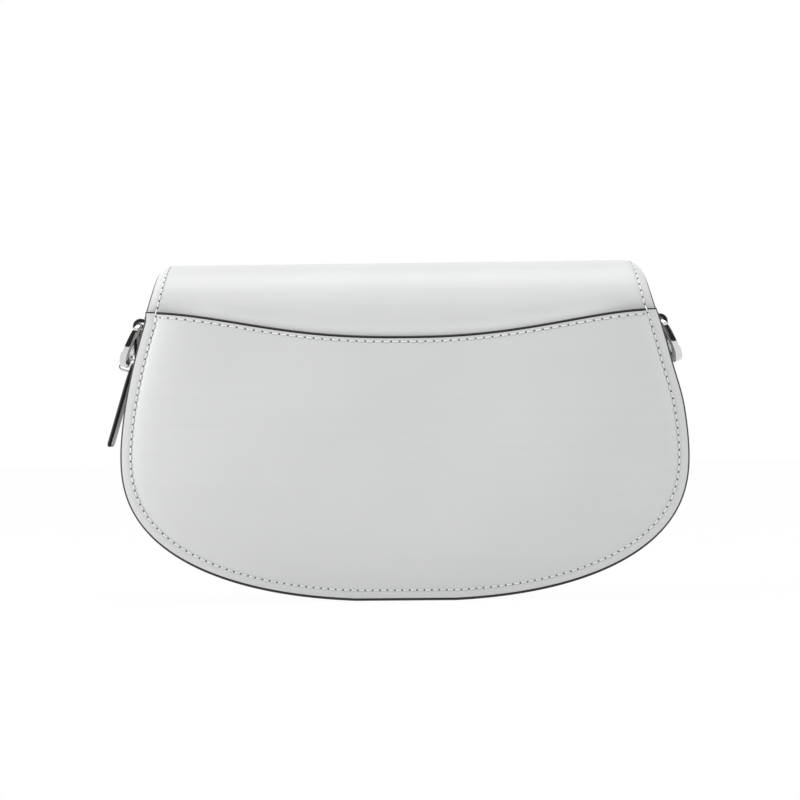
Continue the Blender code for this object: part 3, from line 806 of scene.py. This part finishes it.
behind = bag["leather"] + bag["gap"]
pocketRise = doming(dome["pocket"], pocket["topZ"])
pocketFace = flatSurface(bag["pocketY"], -1, pocketRise)
panel = makePanel("slipPocketPanel", pocketFace, pocket)
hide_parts("slip_pocket_panel")
pocketInside = flatSurface(bag["pocketY"] + behind, -1, pocketRise)
lining = makeLining("slipPocketLining", pocketInside, pocket["topZ"], pocket["sag"], liningLeather)
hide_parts("slip_pocket_lining")
frontFace = flatSurface(bag["frontY"], 1, doming(dome["front"], bag["foldZ"]))
panel = makePanel("frontPanel", frontFace, front)
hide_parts("front_panel")
frontInside = flatSurface(bag["frontY"] - behind, 1, doming(dome["front"] - front["washerRoom"], bag["foldZ"]))
lining = makeLining("frontLining", frontInside, front["topZ"], front["sag"], clothLining)
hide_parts("front_lining")
backInside = flatSurface(
    bag["backY"] + behind, -1, lambda points: backBulgeAt(points[:, 0], points[:, 1] - bag["foldZ"]))
lining = makeLining("backLining", backInside, bag["foldZ"] - flap["liningTail"] - bag["gap"], 0, clothLining)
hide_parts("back_lining")
hidePath = hideHalfPath()
makeHide(hidePath)
makeFlapLining(hidePath)
print("shells ready")


sewing = {
    "thread": 0.31 * mm,  # radius
    "endPower": 3.2,  # how bluntly a stitch's ends close
    "lift": 1.15,  # of its middle, in radii
    "bedded": 0.25,
    "gap": 0.28 * mm,  # from a needle hole to the thread's visible end
    "hole": 0.40 * mm,
    "holeDepth": 0.3 * mm,
    "holeLong": 1.15,
    "holeWide": 0.85,
    "holeRise": 0.55,  # share of the sink
    "around": 8,
    "along": 9,
    "rim": 10,
    "sink": 0.16 * mm,
    "belowMouth": 2.0 * mm,
    "aboveFold": 0.9 * mm,
    "mouthRowFrom": 1.3 * mm,  # inside the seam's row
    "crossLift": 2.6 * mm,
    "crossPitch": 10 * mm,
}


def stitchRow(name, path, surface, pitch, body):
    # thread from needle hole to needle hole along a path in a surface's own coordinates
    fine = resample(path, 1200)
    base = surface(fine, np.zeros(len(fine)))
    outward = -unit(surface(fine, np.full(len(fine), mm)) - base)
    base = base - outward * sewing["sink"]
    run = lengths(base)
    lines = (base, outward, unit(np.gradient(base, run, axis=0)))
    holes = np.linspace(0, run[-1], max(int(round(run[-1] / pitch)), 1) + 1)
    share = np.linspace(0, 1, sewing["along"])
    long = holes[1] - holes[0] - 2 * sewing["gap"]
    swell = np.sqrt(np.clip(1 - np.abs(2 * share - 1) ** sewing["endPower"], 0.02, 1))
    radius = (sewing["thread"] * swell)[:, None, None]
    lift = sewing["thread"] * (sewing["lift"] * (1 - np.abs(2 * share - 1) ** 4) - sewing["bedded"])
    turn, rim = turns(sewing["around"])[None, :, None], turns(sewing["rim"])[:, None]
    points, faces = [], []
    for start in holes[:-1]:
        places = start + sewing["gap"] + share * long
        middle, up, along = (pathAt(places, run, line) for line in lines)
        middle = middle + up * lift[:, None]
        across = np.cross(along, up)
        loops = middle[:, None] + radius * (np.cos(turn) * across[:, None] + np.sin(turn) * up[:, None])
        faces += bandFaces(sewing["along"], sewing["around"], len(points))
        points += list(loops.reshape(-1, 3))
    threadFaces = len(faces)
    # a sunk near-black disc at each needle hole: painted shade in the hole
    for place in holes:
        spot, up, along = (pathAt([place], run, line)[0] for line in lines)
        across = np.cross(along, up)
        disc = spot + up * (sewing["sink"] * sewing["holeRise"]) + sewing["hole"] * (
            sewing["holeLong"] * np.cos(rim) * along + sewing["holeWide"] * np.sin(rim) * across)
        faces += bandFaces(2, sewing["rim"], len(points))
        points += [*disc, *(disc - up * sewing["holeDepth"])]
    row = addMesh(name, points, faces, body, whiteThread)
    row.data.materials.append(needleHoleShade)
    slots = [0] * threadFaces + [1] * (len(faces) - threadFaces)
    row.data.polygons.foreach_set("material_index", slots)
    return row


def sewPanel(name, surface, look):
    topZ = look["topZ"] - sewing["belowMouth"]
    side = panelSide(topZ + 6 * mm)
    side = side + inwardOf(side) * bag["stitchIn"]
    half = side[side[:, 1] <= topZ]
    stitchRow(name + "SeamStitches", bothSides(half), surface, bag["stitchPitch"], "bag")
    endX = float(sideHalfWidth(look["topZ"])) - bag["stitchIn"] - sewing["mouthRowFrom"]
    x = np.linspace(-endX, endX, 400)
    mouth = np.column_stack((x, mouthZ(x, look["topZ"], look["sag"]) - look["mouthStitchIn"]))
    stitchRow(name + "MouthStitches", mouth, surface, look["mouthPitch"], "bag")
    return half[0]


pocketTopHole = sewPanel("pocket", pocketFace, pocket)
sewPanel("front", frontFace, front)


def sewHide():
    inset = hidePath + inwardOf(hidePath, True) * bag["stitchIn"]
    inset = inset[inset[:, 1] > sewing["aboveFold"]]
    row = stitchRow("flapStitches", bothSides(inset[::-1]), hideSurface, bag["stitchPitch"], None)
    bend(row)
    return inset[-1]


def crossStitch(name, side, lowHole, highHole):
    # the stitch that crosses the end of the pocket's mouth, from the panel to the hide
    start = pocketFace(lowHole[None], 0)[0] * (side, 1, 1)
    end = hideSurface(highHole[None] * (side, 1), 0)[0]
    over = (start + end) / 2 - np.array([0, sewing["crossLift"], 0])

    def surface(points, depth):
        share = points[:, :1]
        place = (1 - share) ** 2 * start + 2 * share * (1 - share) * over + share**2 * end
        place[:, 1] += depth
        return place

    stitchRow(name, np.array([[0.0, 0.0], [1.0, 0.0]]), surface, sewing["crossPitch"], "bag")


hideTopHole = sewHide()
crossStitch("pocketCrossStitchLeft", -1, pocketTopHole, hideTopHole)
crossStitch("pocketCrossStitchRight", 1, pocketTopHole, hideTopHole)
print("sewing ready")


# Gusset, seam edges and what lies in the bag
def sweepEdge(name, topZ, profile, finish, swell=None, steps=420):
    # carries a profile of (inset, y) points round the panels' outline, below a height;
    # swell(edge, y) is how far each point stands out further
    half = panelSide(topZ)
    both = resample(np.column_stack((half, inwardOf(half))), steps // 2)
    both = np.vstack((both * np.array([-1, 1, -1, 1]), both[::-1][1:]))
    edge, way = both[:, :2], unit(both[:, 2:])
    inset, y = np.array(profile).T
    inset = np.broadcast_to(inset, (len(edge), len(y)))
    if swell is not None:
        inset = inset - swell(edge, y)
    place = edge[:, None] + way[:, None] * inset[:, :, None]
    points = np.stack((place[..., 0], np.broadcast_to(y, inset.shape), place[..., 1]), axis=2)
    faces = bandFaces(len(edge), len(y))
    return flipIfInside(addMesh(name, points.reshape(-1, 3), faces, "bag", finish))


gusset = {
    "leather": 1.4 * mm,
    "flange": 5.0 * mm,  # from the edge to the outer face of the web
    "bulge": 1.0 * mm,
    "leftBulge": 3.0 * mm,  # towards the top of each side, behind the ring's loop
    "rightBulge": 2.25 * mm,
    "moreFromZ": 55 * mm,
    "moreToZ": 100 * mm,
    "bulgePower": 1.1,
    "corner": 1.3 * mm,
    "squash": 0.9,
    "flangeEnds": (0.6 * mm, 0.1 * mm),
    "linedFrom": 4 * mm,  # the lining ends this far inside the edge
    "linedBelow": 1 * mm,
    "lowY": gussetLow.y,
    "highY": gussetHigh.y,
}
middleY = (gusset["lowY"] + gusset["highY"]) / 2
webHalf = (gusset["highY"] - gusset["lowY"]) / 2 - gusset["leather"]


def webShare(y):
    # 1 along the middle of the gusset's web and 0 at its flanges
    return (1 - np.clip(np.abs(y) / webHalf, 0, 1) ** 2) ** gusset["bulgePower"]


def webSwell(edge, y):
    up = rising(edge[:, 1], gusset["moreFromZ"], gusset["moreToZ"])
    there = np.where(edge[:, 0] < 0, gusset["leftBulge"], gusset["rightBulge"])
    return ((there - gusset["bulge"]) * up)[:, None] * webShare(y - middleY)[None]


def gussetLine(depth):
    # (inset, y) along the gusset's section at a depth under its outer face, from flange to flange
    radius = gusset["corner"] + depth
    bendY = webHalf - gusset["corner"]
    y = np.linspace(0, bendY, 26)
    web = gusset["flange"] - gusset["bulge"] * webShare(y) + depth
    turn = np.linspace(0, math.pi / 2, 7)[1:]
    half = np.vstack((
        np.column_stack((web, y)),
        np.column_stack((
            web[-1] - radius * (1 - np.cos(turn)) * gusset["squash"], bendY + radius * np.sin(turn))),
        [[end, webHalf + depth] for end in gusset["flangeEnds"]],
    ))
    return np.vstack((half[::-1] * (1, -1), half[1:])) + (0, middleY)


def makeGusset():
    wall = np.vstack((gussetLine(0), gussetLine(gusset["leather"])[::-1]))
    body = sweepEdge("gussetWall", bag["gussetTopZ"], wall, whiteLeather, webSwell)
    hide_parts("gusset")
    inside = gusset["leather"] + bag["gap"]
    cloth = np.vstack((gussetLine(inside), gussetLine(inside + bag["lining"])[::-1]))
    cloth = cloth[cloth[:, 0] > gusset["linedFrom"]]
    lining = sweepEdge("gussetLiner", bag["gussetTopZ"] - gusset["linedBelow"], cloth, clothLining, webSwell)
    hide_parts("gusset_lining")


seamEdge = {
    "proud": 0.22 * mm,
    "blunt": 0.35,
    "deep": 0.5 * mm,
    "clear": 0.12 * mm,
    "topClear": 0.5 * mm,
    "gusset": 2.5 * mm,  # what the gusset's flange and the glue add to a seam's depth
}


def makeSeamEdge(name, lowY, highY):
    # paint over the stacked raw edges of a seam
    low, high = lowY + seamEdge["clear"], highY - seamEdge["clear"]
    profile = []
    for angle in np.linspace(-math.pi / 2, math.pi / 2, 15):
        y = (low + high) / 2 + (high - low) / 2 * math.sin(angle)
        proud = seamEdge["proud"] * math.cos(angle) ** seamEdge["blunt"] if abs(angle) < 1.57 else 0
        profile.append((-proud, y))
    profile += [(seamEdge["deep"], high), (seamEdge["deep"], low)]
    edge = sweepEdge(name, bag["gussetTopZ"] - seamEdge["topClear"], profile, edgePaint)


inner = {
    "halfWidth": 65 * mm,
    "topZ": 108 * mm,
    "bottomZ": 38 * mm,
    "corner": 14 * mm,
    "hem": 4 * mm,
    "sewnAt": 2.4 * mm,
    "dent": 0.12 * mm,
    "dentWidth": 0.6 * mm,
    "cloth": 0.6 * mm,
    "dome": 5.2 * mm,
    "reach": 18 * mm,
}


def makeInnerPocket():
    cornerX = inner["halfWidth"] - inner["corner"]
    cornerZ = inner["bottomZ"] + inner["corner"]
    turn = np.linspace(0, math.pi / 2, 16)

    def halfAt(depth):
        radius = inner["corner"] - depth
        top = np.column_stack((
            np.linspace(0, inner["halfWidth"] - depth, 30), np.full(30, inner["topZ"] - depth)))
        around = np.column_stack((cornerX + radius * np.cos(turn), cornerZ - radius * np.sin(turn)))
        return np.vstack((top, around, [[0, inner["bottomZ"] + depth]]))

    sewn = bothSides(halfAt(0)[29:])
    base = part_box("inner_slip_pocket")[0].y

    def surface(points, depth):
        inside = distanceTo(sewn, points) - inner["hem"]
        y = base + inner["cloth"] - depth + inner["dome"] * smooth(inside / inner["reach"])
        return np.column_stack((points[:, 0], y, points[:, 1]))

    def relief(points, fromEdge):
        return groove(fromEdge, inner["sewnAt"], inner["dent"], inner["dentWidth"])

    depths = edgeInsets(inner["cloth"]) + [1 * mm, 2 * mm, 3 * mm, 4.2 * mm]
    grid = (48, 40)
    patch = shell(
        "innerPocket", ringsOf(halfAt, depths, 29, -2, grid), depths, grid, inner["cloth"], surface,
        "bag", clothLining, relief=relief)
    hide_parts("inner_slip_pocket")


board = {"thickness": 1 * mm, "width": 34 * mm, "length": 109 * mm, "corner": 5 * mm}


def makeBoard():
    half = panelSide(bag["widestZ"] + 1 * mm)
    run = lengths(half)
    knots = np.linspace(0, 60 * mm, 200)
    table = pathAt(knots, (run[-1] - run)[::-1], np.column_stack((half, inwardOf(half)))[::-1])
    inset = gusset["flange"] + gusset["leather"] + 2 * bag["gap"] + bag["lining"]

    def surface(points, depth):
        x, z, wayX, wayZ = pathAt(np.abs(points[:, 0]), knots, table).T
        across = points[:, 1]
        rise = inset - gusset["bulge"] * webShare(across) + board["thickness"] - depth
        return np.column_stack((np.sign(points[:, 0]) * (x + wayX * rise), middleY - across, z + wayZ * rise))

    corner = board["corner"]
    length, width = board["length"] / 2 - corner, board["width"] / 2 - corner
    turn = np.linspace(math.pi / 2, -math.pi / 2, 31)

    def halfAt(depth):
        arc = (corner - depth) * np.column_stack((np.cos(turn), np.sin(turn)))
        end = width + corner - depth
        return np.vstack(([[0, end]], arc[:16] + (length, width), arc[15:] + (length, -width), [[0, -end]]))

    depths = edgeInsets(board["thickness"]) + [1.2 * mm, 2.4 * mm]
    grid = (90, 40)
    plate = shell(
        "basePlate", ringsOf(halfAt, depths, 1, -2, grid), depths, grid, board["thickness"], surface,
        "bag", boardCloth)
    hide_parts("base_board")


makeGusset()
makeSeamEdge("backSeamEdge", bag["pocketY"] + skive["depth"], bag["backY"] + bag["leather"] + seamEdge["gusset"])
makeSeamEdge("frontSeamEdge", gusset["highY"] - gusset["leather"], bag["frontY"] - skive["depth"])
makeInnerPocket()
makeBoard()
for obj in made:
    settle(obj)
print("inside ready")


# Rings, their leather loops and the hang tag
ring = {
    "belowFold": {"left": 7.6 * mm, "right": 6.2 * mm},
    "standoff": {"left": 2.7 * mm, "right": -0.2 * mm},
    "splay": {"left": 6.8, "right": 7.4},  # degrees
    "innerWidth": 20 * mm,
    "drop": 18.2 * mm,
    "squareHeight": 9 * mm,
    "crownPower": 2.6,
    "bow": 1.2 * mm,
    "bowPower": 4,
    "bar": 2.6 * mm,
    "limbWidth": 3.1 * mm,
    "crownWidth": 3.9 * mm,
    "crownThickness": 3.0 * mm,
    "bevel": 0.8 * mm,
    "bevelSlant": 0.8,
    "corner": 1.05,  # radius at the bar's ends, in bars
    "round": 0.3 * mm,
    "slopeStep": 0.02 * mm,
}


def ringPivot(name, side):
    # middle of a ring's straight bar and the outward normal of the bag's side there
    z = bag["foldZ"] - ring["belowFold"][name]
    x = float(sideHalfWidth(z))
    slope = (float(sideHalfWidth(z + ring["slopeStep"])) - x) / ring["slopeStep"]
    normal = Vector((1, 0, -slope)).normalized()
    spot = Vector((x, 0, z)) + normal * ring["standoff"][name]
    return Vector((side * spot.x, middleY, spot.z)), Vector((side * normal.x, 0, normal.z))


def tube(name, frameOf, stations, body):
    # a closed metal loop in a frame, through stations of a place, two axes and a section's points along them
    points = [
        frameOf @ (Vector(place) + Vector(a) * p + Vector(b) * q)
        for place, a, b, section in stations for p, q in section]
    faces = bandFaces(len(stations), len(stations[0][3]), closed=True)
    return flipIfInside(addMesh(name, points, faces, body, polishedMetal, smoothAngle=50))


def roundedProfile(corners, radius, steps=4):
    # an open line of points with its corners rounded
    points = [corners[0]]
    for before, here, after in zip(corners, corners[1:], corners[2:]):
        here, toBefore, toAfter = Vector(here), Vector(before) - Vector(here), Vector(after) - Vector(here)
        reach = min(radius, toBefore.length * 0.45, toAfter.length * 0.45)
        start, end = here + toBefore.normalized() * reach, here + toAfter.normalized() * reach
        for step in range(steps + 1):
            t = step / steps
            point = start * (1 - t) ** 2 + here * 2 * t * (1 - t) + end * t**2
            points.append((point.x, point.y))
    return points + [corners[-1]]


def roundedCorners(corners, radius, steps=4):
    # a closed polygon with its corners rounded
    return roundedProfile([corners[-1], *corners, corners[0]], radius, steps)[1:-1]


def ringSection(drop, side):
    # round at the bar; flat-sided with a bevel towards the bag along the limbs
    limb = float(smooth(drop / ring["bar"]))
    crown = float(rising(drop, ring["bar"], ring["drop"]))
    bar, bevel = ring["bar"] / 2, ring["bevel"]
    width = between(ring["limbWidth"], ring["crownWidth"], crown) / 2
    height = between(bar, ring["crownThickness"] / 2, crown)
    corners = [
        (-width, -height), (width, -height), (width, height - bevel * ring["bevelSlant"]),
        (width - bevel, height), (-width, height),
    ]
    points = []
    for p, q in roundedCorners(corners, ring["round"]):
        angle = math.atan2(q, p)
        points.append((
            -side * between(bar * math.cos(angle), p, limb), between(bar * math.sin(angle), q, limb)))
    return points


def makeRing(name, side):
    pivot, normal = ringPivot(name, side)
    lean = math.atan2(normal.z, abs(normal.x)) + math.radians(ring["splay"][name])
    frameOf = Matrix.Translation(pivot) @ Matrix.Rotation(-side * lean, 4, "Y")
    halfWidth = (ring["innerWidth"] + ring["bar"]) / 2
    corner = ring["bar"] * ring["corner"]
    right = [(y, 0.0) for y in np.linspace(0, halfWidth - corner, 14)]
    for angle in np.linspace(0, math.pi / 2, 11)[1:]:
        right.append((halfWidth - corner * (1 - math.sin(angle)), corner * (1 - math.cos(angle))))
    for drop in np.linspace(corner, ring["squareHeight"], 8)[1:-1]:
        right.append((halfWidth, drop))
    depth = ring["drop"] - ring["squareHeight"]
    power = 2 / ring["crownPower"]
    for angle in np.linspace(0, math.pi / 2, 49):
        y = halfWidth * max(math.cos(angle), 0) ** power
        right.append((y, ring["squareHeight"] + depth * math.sin(angle) ** power))
    right = resample(np.array(right), 110)
    loop = np.vstack((right, mirrored(right[1:-1][::-1])))
    stations = []
    for (y, drop), (wayY, wayDrop) in zip(loop, unit(wayRound(loop))):
        bow = side * ring["bow"] * (1 - (2 * drop / ring["drop"] - 1) ** ring["bowPower"])
        stations.append(((bow, y, -drop), (1, 0, 0), (0, wayDrop, wayY), ringSection(drop, side)))
    obj = tube(name + "Ring", frameOf, stations, "ring_" + name)
    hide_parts("d_ring_" + name)
    return frameOf


loop = {
    "leather": 1.45 * mm,
    "width": 16 * mm,
    "eye": 2.1 * mm,
    "tail": {"left": 14.4 * mm, "right": 12.5 * mm},
    "slit": 0.1 * mm,
    "paint": 0.85 * mm,
    "sewnAt": 4.2 * mm,  # above the tails' ends
    "sewnIn": 1.6 * mm,
    "pitch": 2.6 * mm,
}


def makeLoop(name, side):
    pivot, normal = ringPivot(name, side)
    up = Vector((-normal.z * side, 0, normal.x * side))
    half = loop["leather"] / 2
    radius = loop["eye"] + half
    bulge = gusset["leftBulge"] if side < 0 else gusset["bulge"]
    innerN = bulge - gusset["flange"] - ring["standoff"][name] + bag["gap"] + half
    outerN = innerN + loop["leather"] + loop["slit"]
    tail = loop["tail"][name]
    # the tails leave the eye along its tangents
    start = 2 * math.pi + math.atan2(-tail, innerN) - math.acos(radius / math.hypot(innerN, tail))
    end = math.atan2(-tail, outerN) + math.acos(radius / math.hypot(outerN, tail))
    line = [(innerN, -tail)]
    for angle in np.linspace(start, end, 60):
        line.append((radius * math.cos(angle), radius * math.sin(angle)))
    line.append((outerN, -tail))
    line = resample(np.array(line), 240)
    for _ in range(14):
        line[1:-1] = (line[:-2] + line[1:-1] * 2 + line[2:]) / 4
    run = lengths(line)
    line = np.column_stack((line, -rightOf(np.gradient(line, run, axis=0))))
    normal, up, pivot = (np.array(vector) for vector in (normal, up, pivot))

    def surface(points, depth):
        n, t, outN, outT = pathAt(points[:, 1], run, line).T
        place = n + outN * (half - depth)
        rise = t + outT * (half - depth)
        spot = pivot + place[:, None] * normal + rise[:, None] * up
        spot[:, 1] += points[:, 0]
        return spot

    width, length = loop["width"] / 2, run[-1]

    def halfAt(depth):
        side = width - depth
        return np.array([[0, length - depth], [side, length - depth], [side, depth], [0, depth]])

    depths = edgeInsets(loop["leather"]) + [1.1 * mm, 1.6 * mm]
    grid = (24, 120)
    band = shell(
        name + "Loop", ringsOf(halfAt, depths, 1, 2, grid), depths, grid, loop["leather"], surface,
        "bag", whiteLeather, loop["paint"])
    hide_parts("ring_loop_" + name)
    edge = loop["sewnIn"] - width
    row = np.column_stack((np.linspace(edge, -edge, 60), np.full(60, length - loop["sewnAt"])))
    stitchRow(name + "LoopStitches", row, surface, loop["pitch"], "bag")


tag = {
    "width": 20 * mm,
    "topWidth": 9 * mm,
    "shoulder": 7.5 * mm,
    "length": 39 * mm,
    "thickness": 1.8 * mm,
    "corner": 3 * mm,
    "topRise": 1.6 * mm,
    "offset": 3.5 * mm,
    "hole": 2.8 * mm,
    "netShares": (0.15, 0.35, 0.55, 0.75, 0.88, 0.97, 1.0),  # of the way from the crease to the hole
    "crease": 0.12 * mm,
    "creaseFrom": 1.4 * mm,
    "creaseTo": 1.6 * mm,
    "splay": -0.5,  # degrees
    "paint": 1.0 * mm,
    "link": 1 * mm,
    "linkHalf": 2.8 * mm,
}


def makeTag(ringFrame):
    frameOf = ringFrame @ Matrix.Translation((0, 0, -ring["drop"]))
    frameOf = frameOf @ Matrix.Rotation(math.radians(tag["splay"] - ring["splay"]["left"]), 4, "Y")
    half, top = tag["width"] / 2, tag["topRise"]
    bottom = top - tag["length"]
    corners = [
        (tag["topWidth"] / 2, top), (half, top - tag["shoulder"]), (half, bottom), (-half, bottom),
        (-half, top - tag["shoulder"]), (-tag["topWidth"] / 2, top),
    ]
    outline = roundedCorners(corners, tag["corner"], 8)
    outline = resample(np.array(outline + outline[:1]), 161)[:-1]
    depths = edgeInsets(tag["thickness"]) + [1.2 * mm, 1.5 * mm, 1.8 * mm, 2.2 * mm]
    rings = [outline + rightOf(wayRound(outline)) * depth for depth in depths]
    centre = np.array([0.0, -tag["linkHalf"]])
    circle = centre + unit(rings[-1] - centre) * tag["hole"] / 2
    rings += [between(rings[-1], circle, share) for share in tag["netShares"]]
    radius = tag["thickness"] / 2
    fromEdge = depths + [3 * mm] * (len(tag["netShares"]) - 1) + [0.0]
    rows = []
    for depth, inside, places in zip(fromEdge, depths + [radius] * len(tag["netShares"]), rings):
        height = radius * math.sqrt(1 - (1 - min(inside / radius, 1)) ** 2)
        if tag["creaseFrom"] < depth < tag["creaseTo"]:
            height -= tag["crease"]
        rows.append((height, depth, places))
    rows += [(-height, depth, places) for height, depth, places in rows[:0:-1]]
    points, values = [], []
    for height, depth, places in rows:
        points += [frameOf @ Vector((tag["offset"] + height, y, z)) for y, z in places]
        values += [(depth - tag["paint"]) / mm] * len(places)
    faces = bandFaces(len(rows), len(outline), closed=True)
    obj = flipIfInside(addMesh("hangTag", points, faces, "tag", whiteLeather, {"paintAndShadeEdge": values}))
    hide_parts("hang_tag")

    left = -(ring["crownWidth"] + tag["link"]) / 2 - bag["gap"]
    right = tag["offset"] + tag["thickness"] / 2 + bag["gap"] + tag["link"] / 2
    path = []
    for angle in turns(72):
        across = abs(math.cos(angle)) ** 0.5 * math.copysign(1, math.cos(angle))
        rise = abs(math.sin(angle)) ** 0.5 * math.copysign(1, math.sin(angle))
        path.append(((left + right) / 2 + (right - left) / 2 * across, tag["linkHalf"] * rise))
    path = resample(np.array(path + path[:1]), 97)[:-1]
    wire = [(tag["link"] / 2 * math.cos(turn), tag["link"] / 2 * math.sin(turn)) for turn in turns(16)]
    stations = [
        ((x, 0, z), (wayZ, 0, -wayX), (0, 1, 0), wire)
        for (x, z), (wayX, wayZ) in zip(path, unit(wayRound(path)))]
    link = tube("tagLink", frameOf, stations, "tag")
    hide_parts("tag_link")


leftFrame = makeRing("left", -1)
makeRing("right", 1)
makeLoop("left", -1)
makeLoop("right", 1)
makeTag(leftFrame)
print("rings and tag ready")


# Magnetic snap
def turnedPiece(name, node, profile, body):
    # turned about the Y axis through the snap's middle, from (radius, y) points
    low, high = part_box(node)
    centre = (low + high) / 2
    steps = 72
    points = [
        (centre.x + radius * math.cos(turn), y, centre.z + radius * math.sin(turn))
        for radius, y in profile for turn in turns(steps)]
    faces = bandFaces(len(profile), steps, closed=profile[0][0] > 2 * snap["axis"], capped=False)
    obj = flipIfInside(addMesh(name, points, faces, body, polishedMetal, smoothAngle=35))
    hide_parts(node)


snap = {
    "axis": 0.005 * mm,
    "socketHole": 3.6 * mm,
    "socketHoleDepth": 1.8 * mm,
    "stud": 2.2 * mm,
    "studHeight": 1.4 * mm,
    "washerHole": 2.5 * mm,
    "soft": 0.25 * mm,
    "recess": 0.35 * mm,  # of the socket's face, inside its rim
}


def makeSnap():
    low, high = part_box("snap_socket")
    radius = (high.x - low.x) / 2
    axis = snap["axis"]
    lip = high.y - snap["recess"]
    turnedPiece("snapSocket", "snap_socket", roundedProfile([
        (axis, low.y), (radius, low.y), (radius, lip - 0.5 * mm), (radius - 0.7 * mm, high.y),
        (radius - 1.5 * mm, high.y), (radius - 1.9 * mm, lip), (snap["socketHole"] + 0.6 * mm, lip),
        (snap["socketHole"], high.y - 0.7 * mm), (snap["socketHole"], high.y - snap["socketHoleDepth"]),
        (axis, high.y - snap["socketHoleDepth"]),
    ], snap["soft"]), "bag")
    low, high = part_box("snap_stud")
    face = low.y + snap["studHeight"]
    turnedPiece("snapStud", "snap_stud", roundedProfile([
        (axis, high.y), (radius, high.y), (radius, face + 0.3 * mm), (radius - 0.5 * mm, face),
        (snap["stud"] + 0.9 * mm, face), (snap["stud"], face - 0.25 * mm), (snap["stud"], low.y + 0.3 * mm),
        (snap["stud"] - 0.4 * mm, low.y), (axis, low.y),
    ], snap["soft"]), "flap")
    for name, node, body in (
            ("socketWasher", "snap_socket_washer", "bag"), ("studWasher", "snap_stud_washer", "flap")):
        low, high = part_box(node)
        outer = (high.x - low.x) / 2
        turnedPiece(name, node, [
            (snap["washerHole"], low.y), (outer, low.y), (outer, high.y), (snap["washerHole"], high.y),
        ], body)


makeSnap()
print("snap ready")


studio = {
    "lookX": -2 * mm,
    "lookZ": 88 * mm,
    "distance": 1.4,
    "frameWidth": 352 * mm,
    "roll": 0.45,  # degrees
    "seen": 1.0,  # the white that the camera and reflections see
    "ambient": 0.57,
    "floorGlow": 0.972,
    "floorHalf": 3.0,
    "floorZ": -0.2 * mm,
    "sensor": 36,
    "lookAt": (0, 20 * mm, 75 * mm),
}
lamps = {
    "side": {"place": (-2.0, -0.34, 0.45), "size": 0.6, "power": 20.5},
    "key": {"place": (-1.15, -1.15, 1.15), "size": 1.2, "power": 7.2},
    "top": {"place": (0, 0.0, 1.6), "size": 1.2, "power": 11},
    "rim": {"place": (2.0, -0.25, 0.5), "size": 0.6, "power": 10, "color": (0.95, 0.95, 1.0)},
}
darkCard = {"place": (0, -1.75, 0.1), "width": 1.1, "height": 0.7, "level": 0.012}


def makeCamera():
    lens = bpy.data.cameras.new("camera")
    lens.sensor_width = studio["sensor"]
    lens.lens = studio["sensor"] * studio["distance"] / studio["frameWidth"]
    camera = addObject("camera", lens)
    turn = Matrix.Rotation(math.radians(90), 4, "X") @ Matrix.Rotation(math.radians(-studio["roll"]), 4, "Z")
    place = (studio["lookX"], bag["backY"] - studio["distance"], studio["lookZ"])
    camera.matrix_world = Matrix.Translation(place) @ turn
    bpy.context.scene.camera = camera


def makeLamp(name, look):
    light = bpy.data.lights.new(name, "AREA")
    light.size = look["size"]
    light.energy = look["power"]
    light.color = look.get("color", (1, 1, 1))
    way = Vector(studio["lookAt"]) - Vector(look["place"])
    turn = way.to_track_quat("-Z", "Y").to_matrix().to_4x4()
    addObject(name, light).matrix_world = Matrix.Translation(look["place"]) @ turn


def makeWorld():
    # white to the camera and to reflections, plainer light on the object
    world = bpy.data.worlds.new("studio")
    bpy.context.scene.world = world
    f = Finish(world)
    background = f.tree.nodes["Background"]
    f.set(background.inputs["Color"], grey(1))
    seen = f.seenBy("Camera", "Glossy", "Transmission")
    f.set(background.inputs["Strength"], seen * (studio["seen"] - studio["ambient"]) + studio["ambient"])


def makePlane(name, corners, material):
    data = bpy.data.meshes.new(name)
    data.from_pydata(corners, [], [(0, 1, 2, 3)])
    data.materials.append(material)
    plane = addObject(name, data)
    return plane


def makeFloor():
    half, z = studio["floorHalf"], studio["floorZ"]
    f = newFinish("paleFloor")
    material = f.shade(Base_Color=grey(0.8), Roughness=0.9)
    blend = f.add("ShaderNodeMixShader", {}, {
        "Fac": f.seenBy("Camera", "Glossy") * studio["floorGlow"],
        1: Wire(f, f.tree.nodes["Principled BSDF"].outputs[0]),
        2: f.add("ShaderNodeEmission", {}, {}),
    })
    f.set(f.tree.nodes["Material Output"].inputs["Surface"], blend)
    makePlane("floor", [(-half, -half, z), (half, -half, z), (half, half, z), (-half, half, z)], material)


def makeDarkCard():
    # stands behind the camera for the polished metal to reflect
    material = newFinish("darkCard").shade(Base_Color=grey(darkCard["level"]), Roughness=0.95)
    x, y, z = darkCard["place"]
    across, up = darkCard["width"] / 2, darkCard["height"] / 2
    card = makePlane("darkCard", [
        (x - across, y, z - up), (x + across, y, z - up), (x + across, y, z + up), (x - across, y, z + up),
    ], material)
    card.visible_camera = False
    card.visible_diffuse = False
    card.visible_shadow = False


makeCamera()
makeWorld()
makeFloor()
makeDarkCard()
for name, look in lamps.items():
    makeLamp(name, look)
bpy.context.scene.view_settings.view_transform = "Standard"

print("scene ready")
